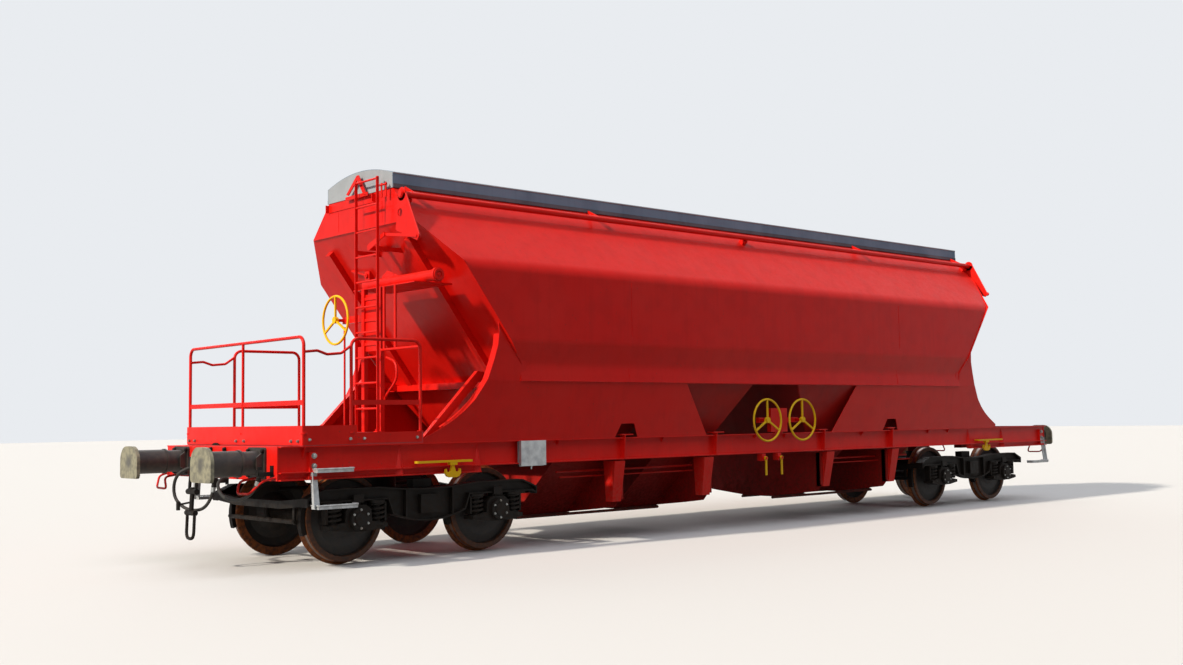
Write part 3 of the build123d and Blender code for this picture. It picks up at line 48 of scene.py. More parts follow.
AXLES = [a * BOLSTER_X + b * HALF_BASE for a in (-1, 1) for b in (-1, 1)]
FRAME_Y = 1.000          # bogie side frames
BUFFER_Y, BUFFER_Z = 0.875, 1.090
END_X = 5.600            # upright head of the end walls
END_FOLD = 3.680         # below this the end walls slope inward
END_RUN = 0.755          # run of that slope for each metre of fall
DECK_Z = 1.370           # platform
DECK_X = (-7.050, -5.639)
DECK_Y = 1.315
SILL_Y = 1.262           # sill web
SHAFT_Y, SHAFT_Z = -0.931, 3.954   # roof shaft
ENDS = ((-1, "brake"), (1, "plain"))
SIDES = ((-1, "right"), (1, "left"))

# Shapes


def piece(name, bm, material, body, smooth=False):
    """Turns a mesh under construction into a piece of the wagon."""
    bmesh.ops.recalc_face_normals(bm, faces=bm.faces)
    mesh = bpy.data.meshes.new(name)
    bm.to_mesh(mesh)
    bm.free()
    obj = bpy.data.objects.new(name, mesh)
    bpy.context.collection.objects.link(obj)
    mesh.materials.append(material)
    if smooth:
        for face in mesh.polygons:
            face.use_smooth = True
        mesh.set_sharp_from_angle(angle=math.radians(35))
    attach(obj, body)
    return obj


def bar(bm, corner, opposite):
    """Box between two opposite corners."""
    a, b = Vector(corner), Vector(opposite)
    size = [abs(side) for side in b - a]
    bmesh.ops.create_cube(bm, size=1, matrix=Matrix.Translation((a + b) / 2) @ Matrix.Diagonal((*size, 1)))


def rod(bm, a, b, radius, sides=12, end_radius=None):
    """Round bar from a to b, or a cone if the end radius differs."""
    a, b = Vector(a), Vector(b)
    turn = (b - a).to_track_quat("Z", "Y").to_matrix().to_4x4()
    bmesh.ops.create_cone(
        bm, cap_ends=True, segments=sides, radius1=radius,
        radius2=radius if end_radius is None else end_radius, depth=(b - a).length,
        matrix=Matrix.Translation((a + b) / 2) @ turn)


def slab(bm, outline, thick):
    """Flat plate: an outline of points in space, thickened by a vector."""
    foot = [bm.verts.new(p) for p in outline]
    top = [bm.verts.new(Vector(p) + Vector(thick)) for p in outline]
    bm.faces.new(foot)
    bm.faces.new(list(reversed(top)))
    for i in range(len(foot)):
        j = (i + 1) % len(foot)
        bm.faces.new((foot[i], foot[j], top[j], top[i]))


def bolt(bm, at, out, across=0.030, tall=0.014):
    """Hexagon head with a washer and the end of its thread."""
    at, out = Vector(at), Vector(out).normalized()
    washer, head, thread = 0.004, 0.004 + tall, 0.008 + tall
    rod(bm, at - out * 0.002, at + out * washer, across * 0.68, 12)
    rod(bm, at + out * washer, at + out * head, across * 0.56, 6)
    rod(bm, at + out * head, at + out * thread, across * 0.50, 6, across * 0.36)


def seam(bm, points, radius=0.005):
    """Weld bead along a line, half sunk in the plate."""
    for a, b in zip(points, points[1:]):
        rod(bm, a, b, radius, 6)


def tube(name, points, radius, material, body, bend=0.04, sides=2):
    """Bent tube along straight runs, its corners rounded by a bend radius."""
    curve = bpy.data.curves.new(name, "CURVE")
    curve.dimensions = "3D"
    curve.bevel_depth = radius
    curve.bevel_resolution = sides
    curve.use_fill_caps = True
    points = [Vector(p) for p in points]
    path = [points[0]]
    for before, corner, after in zip(points, points[1:], points[2:]):
        back, on = before - corner, after - corner
        cut = min(bend, 0.45 * back.length, 0.45 * on.length)
        start, end = corner + back.normalized() * cut, corner + on.normalized() * cut
        for t in (0, 0.25, 0.5, 0.75, 1):
            path.append(start.lerp(corner, t).lerp(corner.lerp(end, t), t))
    path.append(points[-1])
    spline = curve.splines.new("POLY")
    spline.points.add(len(path) - 1)
    for point, place in zip(spline.points, path):
        point.co = (*place, 1)
    obj = bpy.data.objects.new(name, curve)
    bpy.context.collection.objects.link(obj)
    curve.materials.append(material)
    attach(obj, body)
    return obj


def coil(name, at, radius, wire, height, turns, material, body):
    """Coil spring standing on its lower end."""
    steps = 14
    rise = (height - 2 * wire) / (turns * steps)
    points = []
    for k in range(int(turns * steps) + 1):
        angle = 2 * math.pi * k / steps
        around = Vector((radius * math.cos(angle), radius * math.sin(angle), wire + rise * k))
        points.append(Vector(at) + around)
    return tube(name, points, wire, material, body, bend=0.001, sides=1)


def end_x(z):
    """Outer face of the end wall at a height."""
    return END_X - max(0.0, END_FOLD - z) * END_RUN


# Finishes

SHARE, UNDER, OVER = 0, 6, 7     # sockets of a Mix node that lays one colour over another


def linear(code):
    """sRGB hex to linear colour."""
    out = []
    for i in (0, 2, 4):
        c = int(code[i:i + 2], 16) / 255
        out.append(c / 12.92 if c <= 0.04045 else ((c + 0.055) / 1.055) ** 2.4)
    return (*out, 1.0)


def add(tree, kind, links=None, **settings):
    """Adds a node with its settings; each link is a node, a socket or a plain value for one socket."""
    node = tree.nodes.new("ShaderNode" + kind)
    for key, value in settings.items():
        setattr(node, key, value)
    for key, value in (links or {}).items():
        if isinstance(value, bpy.types.Node):
            value = next(socket for socket in value.outputs if socket.enabled)
        if isinstance(value, bpy.types.NodeSocket):
            tree.links.new(value, node.inputs[key])
        else:
            node.inputs[key].default_value = value
    return node


def finish_named(name):
    """Empty material: its tree, its shader and the wagon's own coordinates in metres."""
    material = bpy.data.materials.new(name)
    material.use_nodes = True
    tree = material.node_tree
    place = add(tree, "TexCoord").outputs["Object"]
    return material, tree, tree.nodes["Principled BSDF"], place


def dress(tree, shader, colour, bump):
    """Gives a shader its colour and the grain of its surface."""
    tree.links.new(next(socket for socket in colour.outputs if socket.enabled), shader.inputs["Base Color"])
    tree.links.new(bump.outputs[0], shader.inputs["Normal"])


def per_mm(mm):
    """Pattern scale for features of a size in millimetres."""
    return 1000.0 / mm


def blotches(tree, place, mm, low, high, strength=1.0, detail=4.0):
    """Soft spots of a real size: nothing where the noise is below low, full strength above high."""
    noise = add(tree, "TexNoise", {"Vector": place, "Scale": per_mm(mm), "Detail": detail})
    return add(tree, "MapRange", {"Value": noise, "From Min": low, "From Max": high, "To Max": strength})


def mottled(tree, place, under, over, mm, low, high, strength=1.0, detail=4.0):
    """A colour, or a node that gives one, with soft spots of another colour over it."""
    spots = blotches(tree, place, mm, low, high, strength, detail)
    return add(tree, "Mix", {SHARE: spots, UNDER: under, OVER: linear(over)}, data_type="RGBA")


def facing_up(tree, low, high, strength=1.0):
    """Full strength where the surface faces up, where dust can lie."""
    normal = add(tree, "NewGeometry").outputs["Normal"]
    upward = add(tree, "SeparateXYZ", {0: normal}).outputs["Z"]
    return add(tree, "MapRange", {"Value": upward, "From Min": low, "From Max": high, "To Max": strength})


def painted_steel(name, base, faded, deep, rough, dust="8C7B6A", dusty=0.5, chips=0.0,
                  wavy=0.0, metal_under="5A3A2A", low_dirt=1.2):
    """Sprayed paint on rolled steel plate: even colour with slow clouds where the coat is thicker or
    has chalked, faint runs of rain dirt, dust that settles on ledges and near the track, small chips
    down to rusty steel, and a fine orange peel over plate that isn't quite flat."""
    material, tree, shader, place = finish_named(name)

    # clouds, smaller patches, and runs, which are spots drawn out downwards
    colour = mottled(tree, place, linear(base), faded, 900, 0.35, 0.68, 0.55)
    colour = mottled(tree, place, colour, deep, 260, 0.46, 0.64, 0.28, detail=5.0)
    washed = add(tree, "Mapping", {"Vector": place, "Scale": (1.0, 1.0, 0.05)})
    colour = mottled(tree, washed, colour, deep, 55, 0.52, 0.74, 0.22)

    # dirt in fine grains, on ledges and from low_dirt down to the track; given a dark dust, as on the funnels,
    # it is also painted shade
    height = add(tree, "SeparateXYZ", {0: place}).outputs["Z"]
    near_track = add(tree, "MapRange", {"Value": height, "From Min": low_dirt, "From Max": 0.3})
    reach = add(tree, "Math", {0: facing_up(tree, 0.45, 0.95, 0.55), 1: near_track}, operation="ADD")
    grain = blotches(tree, place, 35, 0.38, 0.66, detail=6.0)
    dirt = add(tree, "Math", {0: reach, 1: grain}, operation="MULTIPLY")
    share = add(tree, "Math", {0: dirt, 1: dusty}, operation="MULTIPLY")
    colour = add(tree, "Mix", {SHARE: share, UNDER: colour, OVER: linear(dust)}, data_type="RGBA")

    # chips 42 mm apart, only here and there
    if chips:
        spot = add(tree, "TexVoronoi", {"Vector": place, "Scale": per_mm(42)}, feature="F1")
        chip = add(tree, "MapRange", {"Value": spot, "From Min": 0.16, "From Max": 0.12, "To Max": chips})
        rare = blotches(tree, place, 170, 0.60, 0.64, detail=2.0)
        share = add(tree, "Math", {0: chip, 1: rare}, operation="MULTIPLY")
        colour = add(tree, "Mix", {SHARE: share, UNDER: colour, OVER: linear(metal_under)}, data_type="RGBA")

    haze = add(tree, "TexNoise", {"Vector": place, "Scale": per_mm(120), "Detail": 4.0})
    dull = add(tree, "Math", {0: haze, 1: 0.22, 2: rough - 0.08}, operation="MULTIPLY_ADD")
    dull = add(tree, "Math", {0: dirt, 1: 0.35, 2: dull}, operation="MULTIPLY_ADD")
    tree.links.new(dull.outputs[0], shader.inputs["Roughness"])
    shader.inputs["Specular IOR Level"].default_value = 0.16

    # orange peel is drawn at 9 mm, coarser than real, so that it shows at all
    peel = add(tree, "TexNoise", {"Vector": place, "Scale": per_mm(9), "Detail": 2.0})
    bump = add(tree, "Bump", {"Height": peel, "Strength": 0.12, "Distance": 0.002})
    if wavy:
        plate = add(tree, "TexNoise", {"Vector": place, "Scale": per_mm(620), "Detail": 2.0})
        bump = add(tree, "Bump", {"Height": plate, "Strength": 0.5, "Distance": wavy, "Normal": bump})
    dress(tree, shader, colour, bump)
    return material


# Two-pack traffic red enamel on the wagon's plates: clean, glossy, a little uneven on the big sheets
red_enamel = painted_steel("gloss_red_enamel", "DA130B", "DA231A", "BE0E08", 0.32, dusty=0.18, chips=0.6,
                           wavy=0.006)
# The same enamel on sections, rails and brackets, where no plate waves
red_sections = painted_steel("gloss_red_enamel_on_sections", "DC160D", "DC251A", "BC0F09", 0.34,
                             dusty=0.20, chips=0.8)
# The enamel on the funnels and their cross walls: darker than the body's as painted shade under the sills,
# with dark track dirt from 1.3 m down that is also painted shade
# darker base and dark dust here are painted shade as well as track dirt
red_funnels = painted_steel("shade_darkened_track_soiled_red_enamel", "A8140E", "9A1A14", "6E0C09", 0.48, dust="3A2A20",
                            dusty=0.55, chips=0.8, low_dirt=1.3)
# Grey roof paint: flat, chalky, with rain marks
grey_roof = painted_steel("flat_grey_roof_paint", "728698", "8999AA", "586878", 0.62, dust="8F8A80",
                          dusty=0.35, chips=0.5, wavy=0.004)
# The roof's end plates in a paler grey
pale_grey = painted_steel("pale_grey_roof_end_paint", "9A9FA3", "A9ADB0", "858A8E", 0.55, dust="9A958B",
                          dusty=0.30, chips=0.7)
# The roof's lower edge, where the grey paint has weathered to blotches and flaked
flaked_grey = painted_steel("flaked_grey_roof_paint", "5C5A60", "85878D", "3A3538", 0.66, dusty=0.35,
                            chips=1.0, low_dirt=1.0)
# Yellow paint of the hand controls, brushed on
yellow_control = painted_steel("yellow_control_enamel", "F0B800", "F5C92A", "CF9400", 0.36, dusty=0.25,
                               chips=0.9, metal_under="6B4A20")
# Black bitumen paint of the bogies, dull with brake dust and oil
black_bogie = painted_steel("black_bitumen_paint", "100E0C", "1A1613", "080706", 0.50, dust="3A2E24",
                            dusty=0.45, chips=0.5, metal_under="4A2C1A", low_dirt=1.0)
# A darker, duller red inside and under the body, painted shade, with dust
# the dark base colour is painted shade for the parts under and inside the body
shade_darkened_red = painted_steel("shade_darkened_red_under_the_body", "8E1816", "9A241E", "5E0F0D", 0.62, dusty=0.6,
                          chips=0.6, low_dirt=1.4)


def bare_metal(name, base, dark, rough, stain, stain_share, metallic, grain_mm=40, spangle=False):
    """Unpainted metal: dulled by weather, with stains in clouds; zinc also shows its crystals."""
    material, tree, shader, place = finish_named(name)
    colour = mottled(tree, place, linear(base), dark, grain_mm, 0.40, 0.66, detail=5.0)
    if spangle:
        # crystals of the zinc, 22 mm across
        flake = add(tree, "TexVoronoi", {"Vector": place, "Scale": per_mm(22)}, feature="F1").outputs["Color"]
        shade = add(tree, "SeparateColor", {0: flake}).outputs[0]
        share = add(tree, "Math", {0: shade, 1: 0.35}, operation="MULTIPLY")
        colour = add(tree, "Mix", {SHARE: share, UNDER: colour, OVER: linear(dark)}, data_type="RGBA")
    colour = mottled(tree, place, colour, stain, 130, 0.50, 0.66, stain_share, detail=6.0)
    shader.inputs["Metallic"].default_value = metallic
    haze = add(tree, "TexNoise", {"Vector": place, "Scale": per_mm(60), "Detail": 5.0})
    dull = add(tree, "Math", {0: haze, 1: 0.30, 2: rough - 0.12}, operation="MULTIPLY_ADD")
    tree.links.new(dull.outputs[0], shader.inputs["Roughness"])
    pits = add(tree, "TexNoise", {"Vector": place, "Scale": per_mm(14), "Detail": 4.0})
    dress(tree, shader, colour, add(tree, "Bump", {"Height": pits, "Strength": 0.25, "Distance": 0.002}))
    return material


# Hot-dip galvanised steel of the steps: pale, matt, with zinc flowers
galvanised = bare_metal("hot_dip_galvanised_steel", "C2C4C4", "A4A7A8", 0.50, "8A877F", 0.35, metallic=0.35,
                        spangle=True)
# Anodised aluminium sheet of the document box: satin grey, clouded
aluminium = bare_metal("anodised_aluminium_sheet", "B2B5B6", "989B9D", 0.38, "7C7A76", 0.30, metallic=0.6,
                       grain_mm=90)
# Rolled steel plate of the floor gates, rusty on the bare side
rusty_plate = bare_metal("rusted_rolled_steel", "6B2A1E", "4A1A12", 0.72, "2E1A12", 0.6, metallic=0.2)
# Bright pins and bolts of the bogie and the step brackets, zinc plated
zinc = bare_metal("zinc_plated_bolts", "9A9C9A", "7D7F7C", 0.42, "6A5A48", 0.5, metallic=0.85)


def wheel_steel():
    """Forged wheel: the web dull black, darkened partly as painted shade, the tread and flange rusty where the
    blocks have left them, with one bright ring where the wheel runs on the rail."""
    material, tree, shader, place = finish_named("forged_wheel_steel")

    # distance from the nearest axle, and from the wagon's middle line
    quarter = add(tree, "VectorMath", {0: place}, operation="ABSOLUTE")
    across = add(tree, "SeparateXYZ", {0: quarter}).outputs["Y"]
    at = add(tree, "VectorMath", {0: quarter, 1: (BOLSTER_X, 0, AXLE_Z)}, operation="SUBTRACT")
    at = add(tree, "VectorMath", {0: at}, operation="ABSOLUTE")
    at = add(tree, "VectorMath", {0: at, 1: (HALF_BASE, 0, 0)}, operation="SUBTRACT")
    at = add(tree, "VectorMath", {0: at, 1: (1, 0, 1)}, operation="MULTIPLY")
    radius = add(tree, "VectorMath", {0: at}, operation="LENGTH").outputs["Value"]

    # the web's near black is partly painted shade
    web = mottled(tree, place, linear("120F0D"), "241B14", 60, 0.40, 0.65, detail=6.0)
    rust = mottled(tree, place, linear("96521F"), "5A2E12", 45, 0.40, 0.62, detail=6.0)

    # rust from 400 mm out, with a ragged border, and little of it on the outer face
    ragged = add(tree, "TexNoise", {"Vector": place, "Scale": per_mm(30), "Detail": 4.0})
    ragged = add(tree, "Math", {0: ragged, 1: 0.012, 2: radius}, operation="MULTIPLY_ADD")
    rim = add(tree, "MapRange", {"Value": ragged, "From Min": 0.400, "From Max": 0.412})
    inward = add(tree, "MapRange", {"Value": across, "From Min": 0.812, "From Max": 0.8135,
                                    "To Min": 1.0, "To Max": 0.28})
    rim = add(tree, "Math", {0: rim, 1: inward}, operation="MULTIPLY")
    colour = add(tree, "Mix", {SHARE: rim, UNDER: web, OVER: rust}, data_type="RGBA")

    # bright ring, from 732 to 786 mm beside the middle line
    run = add(tree, "MapRange", {"Value": radius, "From Min": 0.450, "From Max": 0.455})
    for edge, full in ((0.732, 0.738), (0.786, 0.778)):
        side = add(tree, "MapRange", {"Value": across, "From Min": edge, "From Max": full})
        run = add(tree, "Math", {0: run, 1: side}, operation="MULTIPLY")
    share = add(tree, "Math", {0: run, 1: 0.75}, operation="MULTIPLY")
    colour = add(tree, "Mix", {SHARE: share, UNDER: colour, OVER: linear("8F8A84")}, data_type="RGBA")
    bare = add(tree, "Math", {0: run, 1: 0.9}, operation="MULTIPLY")
    tree.links.new(bare.outputs[0], shader.inputs["Metallic"])
    dull = add(tree, "Math", {0: run, 1: -0.40, 2: 0.68}, operation="MULTIPLY_ADD")
    tree.links.new(dull.outputs[0], shader.inputs["Roughness"])
    pits = add(tree, "TexNoise", {"Vector": place, "Scale": per_mm(18), "Detail": 5.0})
    dress(tree, shader, colour, add(tree, "Bump", {"Height": pits, "Strength": 0.3, "Distance": 0.002}))
    return material


def buffer_finish():
    """Black painted sleeves; the plates' faces are khaki with old grease, darkest in the middle."""
    material, tree, shader, place = finish_named("buffer_paint_and_grease")

    # the plate starts 42 mm behind the buffer's face; distance from the buffer's middle line
    quarter = add(tree, "VectorMath", {0: place}, operation="ABSOLUTE")
    along = add(tree, "SeparateXYZ", {0: quarter}).outputs["X"]
    face = add(tree, "MapRange", {"Value": along, "From Min": 7.858, "From Max": 7.862})
    at = add(tree, "VectorMath", {0: quarter, 1: (0, BUFFER_Y, BUFFER_Z)}, operation="SUBTRACT")
    at = add(tree, "VectorMath", {0: at, 1: (0, 1, 1)}, operation="MULTIPLY")
    radius = add(tree, "VectorMath", {0: at}, operation="LENGTH").outputs["Value"]

    sleeve = mottled(tree, place, linear("1E1814"), "332A22", 70, 0.40, 0.66, detail=5.0)
    plate = mottled(tree, place, linear("8F8A72"), "6F6B5A", 55, 0.42, 0.62, detail=6.0)
    ragged = add(tree, "TexNoise", {"Vector": place, "Scale": per_mm(45), "Detail": 5.0})
    ragged = add(tree, "Math", {0: ragged, 1: 0.10, 2: radius}, operation="MULTIPLY_ADD")
    grease = add(tree, "MapRange", {"Value": ragged, "From Min": 0.155, "From Max": 0.085})
    share = add(tree, "Math", {0: grease, 1: 0.75}, operation="MULTIPLY")
    plate = add(tree, "Mix", {SHARE: share, UNDER: plate, OVER: linear("2E2A20")}, data_type="RGBA")
    colour = add(tree, "Mix", {SHARE: face, UNDER: sleeve, OVER: plate}, data_type="RGBA")

    wet = add(tree, "Math", {0: grease, 1: face}, operation="MULTIPLY")
    dull = add(tree, "Math", {0: wet, 1: -0.25, 2: 0.55}, operation="MULTIPLY_ADD")
    tree.links.new(dull.outputs[0], shader.inputs["Roughness"])
    pits = add(tree, "TexNoise", {"Vector": place, "Scale": per_mm(16), "Detail": 4.0})
    dress(tree, shader, colour, add(tree, "Bump", {"Height": pits, "Strength": 0.2, "Distance": 0.002}))
    return material


def rubber_hose_finish():
    """Extruded rubber with a cloth cover: nearly black, dull, with pale dust in the weave."""
    material, tree, shader, place = finish_named("fabric_covered_rubber")
    colour = mottled(tree, place, linear("15130F"), "3A342B", 40, 0.42, 0.70, 0.7, detail=6.0)
    shader.inputs["Roughness"].default_value = 0.72
    # the cloth's weave is drawn at 5 mm, coarser than real, so that it shows
    weave = add(tree, "TexVoronoi", {"Vector": place, "Scale": per_mm(5)}, feature="F1")
    dress(tree, shader, colour, add(tree, "Bump", {"Height": weave, "Strength": 0.4, "Distance": 0.001}))
    return material


def deck_finish():
    """Chequer plate of the platform in the same red enamel: raised bars in turn, worn to dull
    where people step."""
    material, tree, shader, place = finish_named("red_enamel_on_chequer_plate")
    colour = mottled(tree, place, linear("C5161A"), "8E2A22", 300, 0.48, 0.68, 0.5)
    dust = blotches(tree, place, 60, 0.42, 0.66, detail=6.0)
    dust = add(tree, "Math", {0: dust, 1: facing_up(tree, 0.5, 0.9, 0.4)}, operation="MULTIPLY")
    colour = add(tree, "Mix", {SHARE: dust, UNDER: colour, OVER: linear("8C7B6A")}, data_type="RGBA")
    shader.inputs["Roughness"].default_value = 0.42
    # bars 30 mm apart, each way in turn on the two diagonals
    waves = []
    for turn in (math.pi / 4, -math.pi / 4):
        turned = add(tree, "Mapping", {"Vector": place, "Rotation": (0, 0, turn)})
        wave = add(tree, "TexWave", {"Vector": turned, "Scale": per_mm(30) / 3.2}, wave_type="BANDS")
        waves.append(wave.outputs["Fac"])
    both = add(tree, "Math", {0: waves[0], 1: waves[1]}, operation="MULTIPLY")
    bars = add(tree, "MapRange", {"Value": both, "From Min": 0.45, "From Max": 0.62})
    bars = add(tree, "Math", {0: bars, 1: facing_up(tree, 0.8, 0.95)}, operation="MULTIPLY")
    dress(tree, shader, colour, add(tree, "Bump", {"Height": bars, "Strength": 0.8, "Distance": 0.004}))
    return material


wheel_forged = wheel_steel()
buffer_paint = buffer_finish()
hose_rubber = rubber_hose_finish()
deck_plate = deck_finish()

FINISHES = (
    (red_enamel, """side_wall_right side_wall_left shoulder_sheet_right shoulder_sheet_left
        end_wall_brake end_wall_plain apron_right apron_left"""),
    (red_sections, """shaft_blocks sole_bar_right sole_bar_left headstock_brake headstock_plain handrails
        end_gear end_frame_brake end_frame_plain gear_boxes roof_shaft ladder wing_flanges"""),
    (red_funnels, "side_slope_right side_slope_left cross_walls_brake cross_walls_plain"),
    (shade_darkened_red, "saddles centre_sills cross_members bolsters"),
    (deck_plate, "platform"),
    (grey_roof, "roof_skin mouth_frame"),
    (pale_grey, "roof_ends"),
    (yellow_control, "brake_wheel side_wheels rope_hooks"),
    (black_bogie, """draw_hooks brake_cocks bogie_frame_brake bogie_frame_plain axle_boxes_brake
        axle_boxes_plain axle_1 axle_2 axle_3 axle_4"""),
    (wheel_forged, "wheels_1 wheels_2 wheels_3 wheels_4"),
    (buffer_paint, "buffers_brake buffers_plain"),
    (galvanised, "steps"),
    (aluminium, "document_box"),
    (rusty_plate, "gate_brake_right gate_brake_left gate_plain_right gate_plain_left"),
    (hose_rubber, "hose_right hose_left"),
)
for material, names in FINISHES:
    for name in names.split():
        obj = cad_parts[name]
        obj.data.materials.clear()
        obj.data.materials.append(material)

# Weld seams: the aprons' upper edges, the joints of the side sheets, the joints of the end walls' heads
APRON_SEAM = (4.400, 1.4505, 1.915)       # half length, Y, Z
SIDE_JOINT_X = 2.750
SIDE_JOINT = ((1.4502, 1.916), (1.4265, 2.095), (1.5005, 2.450), (1.5005, 3.100))    # Y, Z from below
HEAD_JOINT = (0.470, 3.700, 3.950)        # Y, from Z, to Z
bm = bmesh.new()
for s in (-1, 1):
    half, y, z = APRON_SEAM
    seam(bm, [(-half, s * y, z), (half, s * y, z)])
    for x in (-SIDE_JOINT_X, SIDE_JOINT_X):
        seam(bm, [(x, s * y, z) for y, z in SIDE_JOINT], 0.0035)
for e in (-1, 1):
    y, low, high = HEAD_JOINT
    x = e * (END_X + 0.0005)
    for y in (-y, y):
        seam(bm, [(x, y, low), (x, y, high)], 0.003)
piece("weld_seams", bm, red_enamel, "wagon", smooth=True)

# Closing plates where the wings leave the side sheets
CLOSER = ((4.330, 1.428, 1.990), (4.520, 1.434, 1.990), (4.560, 1.437, 2.150), (4.340, 1.430, 2.150))
bm = bmesh.new()
for e in (-1, 1):
    for s in (-1, 1):
        slab(bm, [(e * x, s * y, z) for x, y, z in CLOSER], (0, s * 0.006, 0))
piece("wing_closers", bm, red_enamel, "wagon")

# Roof: folded lip along the lower edge, weathered, and a bead on the eave fold in pale grey, a painted
# highlight along the eave
ROOF_X, ROOF_Y = 5.606, 0.700
LIP_OUT, LIP_LOW, LIP_TOP = 0.009, 4.066, 4.112
BEAD_Z = 4.233
bm = bmesh.new()
bead = bmesh.new()
for s in (-1, 1):
    bar(bm, (-ROOF_X, s * ROOF_Y, LIP_LOW), (ROOF_X, s * (ROOF_Y + LIP_OUT), LIP_TOP))
    rod(bead, (-ROOF_X, s * (ROOF_Y - 0.002), BEAD_Z), (ROOF_X, s * (ROOF_Y - 0.002), BEAD_Z), 0.009, 8)
piece("roof_edges", bm, flaked_grey, "roof", smooth=True)
# the bead's pale grey is a painted highlight
piece("roof_beads_painted_highlight", bead, pale_grey, "roof", smooth=True)

# Roof shaft with its short arms under the lid's edge, levers at both ends and their tie rods.
# A lever's outline and places are given as Y, Z from the shaft's middle.
SHAFT_ARMS_X = (-5.450, -2.725, 2.725, 5.450)
LEVER_X = 5.640
LEVER_THICK = 0.012
LEVER_EDGE = ((0.075, 0.0), (0.090, -0.10), (0.100, -0.20), (0.108, -0.30), (0.115, -0.380), (-0.10, -0.463),
              (-0.294, -0.537), (-0.344, -0.507), (-0.255, -0.34), (-0.165, -0.17), (-0.120, -0.085),
              (-0.075, 0.0))
LEVER_CORNERS = [LEVER_EDGE[k] for k in (0, 4, 6, 7, 11)]
LEVER_HOLE, HOLE_R = (0.030, -0.200), 0.045
TIE_PIN, TIE_END = (-0.304, -0.497), (0.326, -0.405)


def from_shaft(x, y, z):
    """Point at a place from the shaft's middle line."""
    return Vector((x, SHAFT_Y + y, SHAFT_Z + z))


def roof_lever(bm, e):
    """Lever plate with a hole and rounded rims on the shaft's end, its hub, pin and tie rod."""
    x = e * LEVER_X
    rod(bm, from_shaft(x - 0.006, 0, 0), from_shaft(x + 0.006, 0, 0), 0.075, 32)
    rod(bm, from_shaft(x, 0, 0), from_shaft(x + e * 0.022, 0, 0), 0.046, 24)
    for a, b in zip(LEVER_CORNERS, LEVER_CORNERS[1:]):
        rod(bm, from_shaft(x - e * 0.002, *a), from_shaft(x - e * 0.002, *b), 0.0075, 8)
    count = len(LEVER_EDGE)
    middle_y, middle_z = LEVER_HOLE
    turns = [2 * math.pi * k / count for k in range(count)]
    hole = [(middle_y + HOLE_R * math.cos(t), middle_z + HOLE_R * math.sin(t)) for t in turns]
    edge = sorted(LEVER_EDGE, key=lambda p: math.atan2(p[1] - middle_z, p[0] - middle_y) % (2 * math.pi))
    for k in range(count):
        j = (k + 1) % count
        slab(bm, [from_shaft(x - LEVER_THICK / 2, *p) for p in (hole[k], edge[k], edge[j], hole[j])],
             (LEVER_THICK, 0, 0))
    (pin_y, pin_z), (end_y, end_z) = TIE_PIN, TIE_END
    rod(bm, from_shaft(x, pin_y, pin_z), from_shaft(x + e * 0.030, pin_y, pin_z), 0.016, 14)
    pin_y -= 0.020
    rod(bm, from_shaft(x + e * 0.006, pin_y, pin_z), from_shaft(x + e * 0.020, pin_y, pin_z), 0.030, 14)
    half = 0.016
    slab(bm, [from_shaft(x + e * 0.010, y, z) for y, z in
              ((pin_y, pin_z - half), (end_y, end_z - half), (end_y, end_z + half), (pin_y, pin_z + half))],
         (e * 0.012, 0, 0))
    rod(bm, from_shaft(x + e * 0.004, end_y, end_z), from_shaft(x + e * 0.028, end_y, end_z), 0.024, 14)


bm = bmesh.new()
rod(bm, (-5.670, SHAFT_Y, SHAFT_Z), (5.670, SHAFT_Y, SHAFT_Z), 0.035, 24)
for x in SHAFT_ARMS_X:
    slab(bm, [(x - 0.012, y, z) for y, z in
              ((SHAFT_Y, 3.925), (SHAFT_Y, 3.980), (-0.709, 4.090), (-0.709, 4.050))], (0.024, 0, 0))
for e in (-1, 1):
    roof_lever(bm, e)
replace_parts(piece("roof_shaft_and_levers", bm, red_sections, "roof", smooth=True), "roof_shaft")

# Platform: kick plates along the front and sides, and their zinc bolts
KICK_LOW, KICK_TOP = 1.262, 1.452
GAP_X = -6.440           # the side plates are low from here to the end wall
bm = bmesh.new()
bar(bm, (DECK_X[0] - 0.006, -DECK_Y, KICK_LOW), (DECK_X[0], DECK_Y, KICK_TOP))
for s in (-1, 1):
    bar(bm, (DECK_X[0], s * DECK_Y, KICK_LOW), (GAP_X, s * (DECK_Y + 0.005), KICK_TOP))
    bar(bm, (GAP_X, s * DECK_Y, KICK_LOW + 0.006), (-5.660, s * (DECK_Y + 0.006), DECK_Z + 0.006))
piece("kick_plates", bm, red_sections, "wagon")

bm = bmesh.new()
for y in (-1.24, -1.10, -0.09, 0.09, 1.10, 1.24):
    bolt(bm, (DECK_X[0] - 0.006, y, 1.300), (-1, 0, 0), 0.024)
for s in (-1, 1):
    for x in (-6.98, -6.52, -6.36, -5.72):
        bolt(bm, (x, s * (DECK_Y + 0.006), 1.315), (0, s, 0), 0.024)
piece("zinc_bolts", bm, zinc, "wagon")

# Gussets under the platform edge and along the sills
GUSSETS_X = (0.30, 2.05, 3.75, 4.30)
bm = bmesh.new()
for s in (-1, 1):
    slab(bm, [(-7.026, s * y, z) for y, z in ((SILL_Y, 1.241), (1.310, 1.241), (SILL_Y, 1.120))],
         (0.012, 0, 0))
    for e in (-1, 1):
        for x in GUSSETS_X:
            slab(bm, [(e * x, s * y, z) for y, z in
                      ((SILL_Y, 1.240), (1.300, 1.240), (1.300, 1.225), (SILL_Y, 1.180))], (e * 0.010, 0, 0))
piece("sill_gussets", bm, red_sections, "wagon")

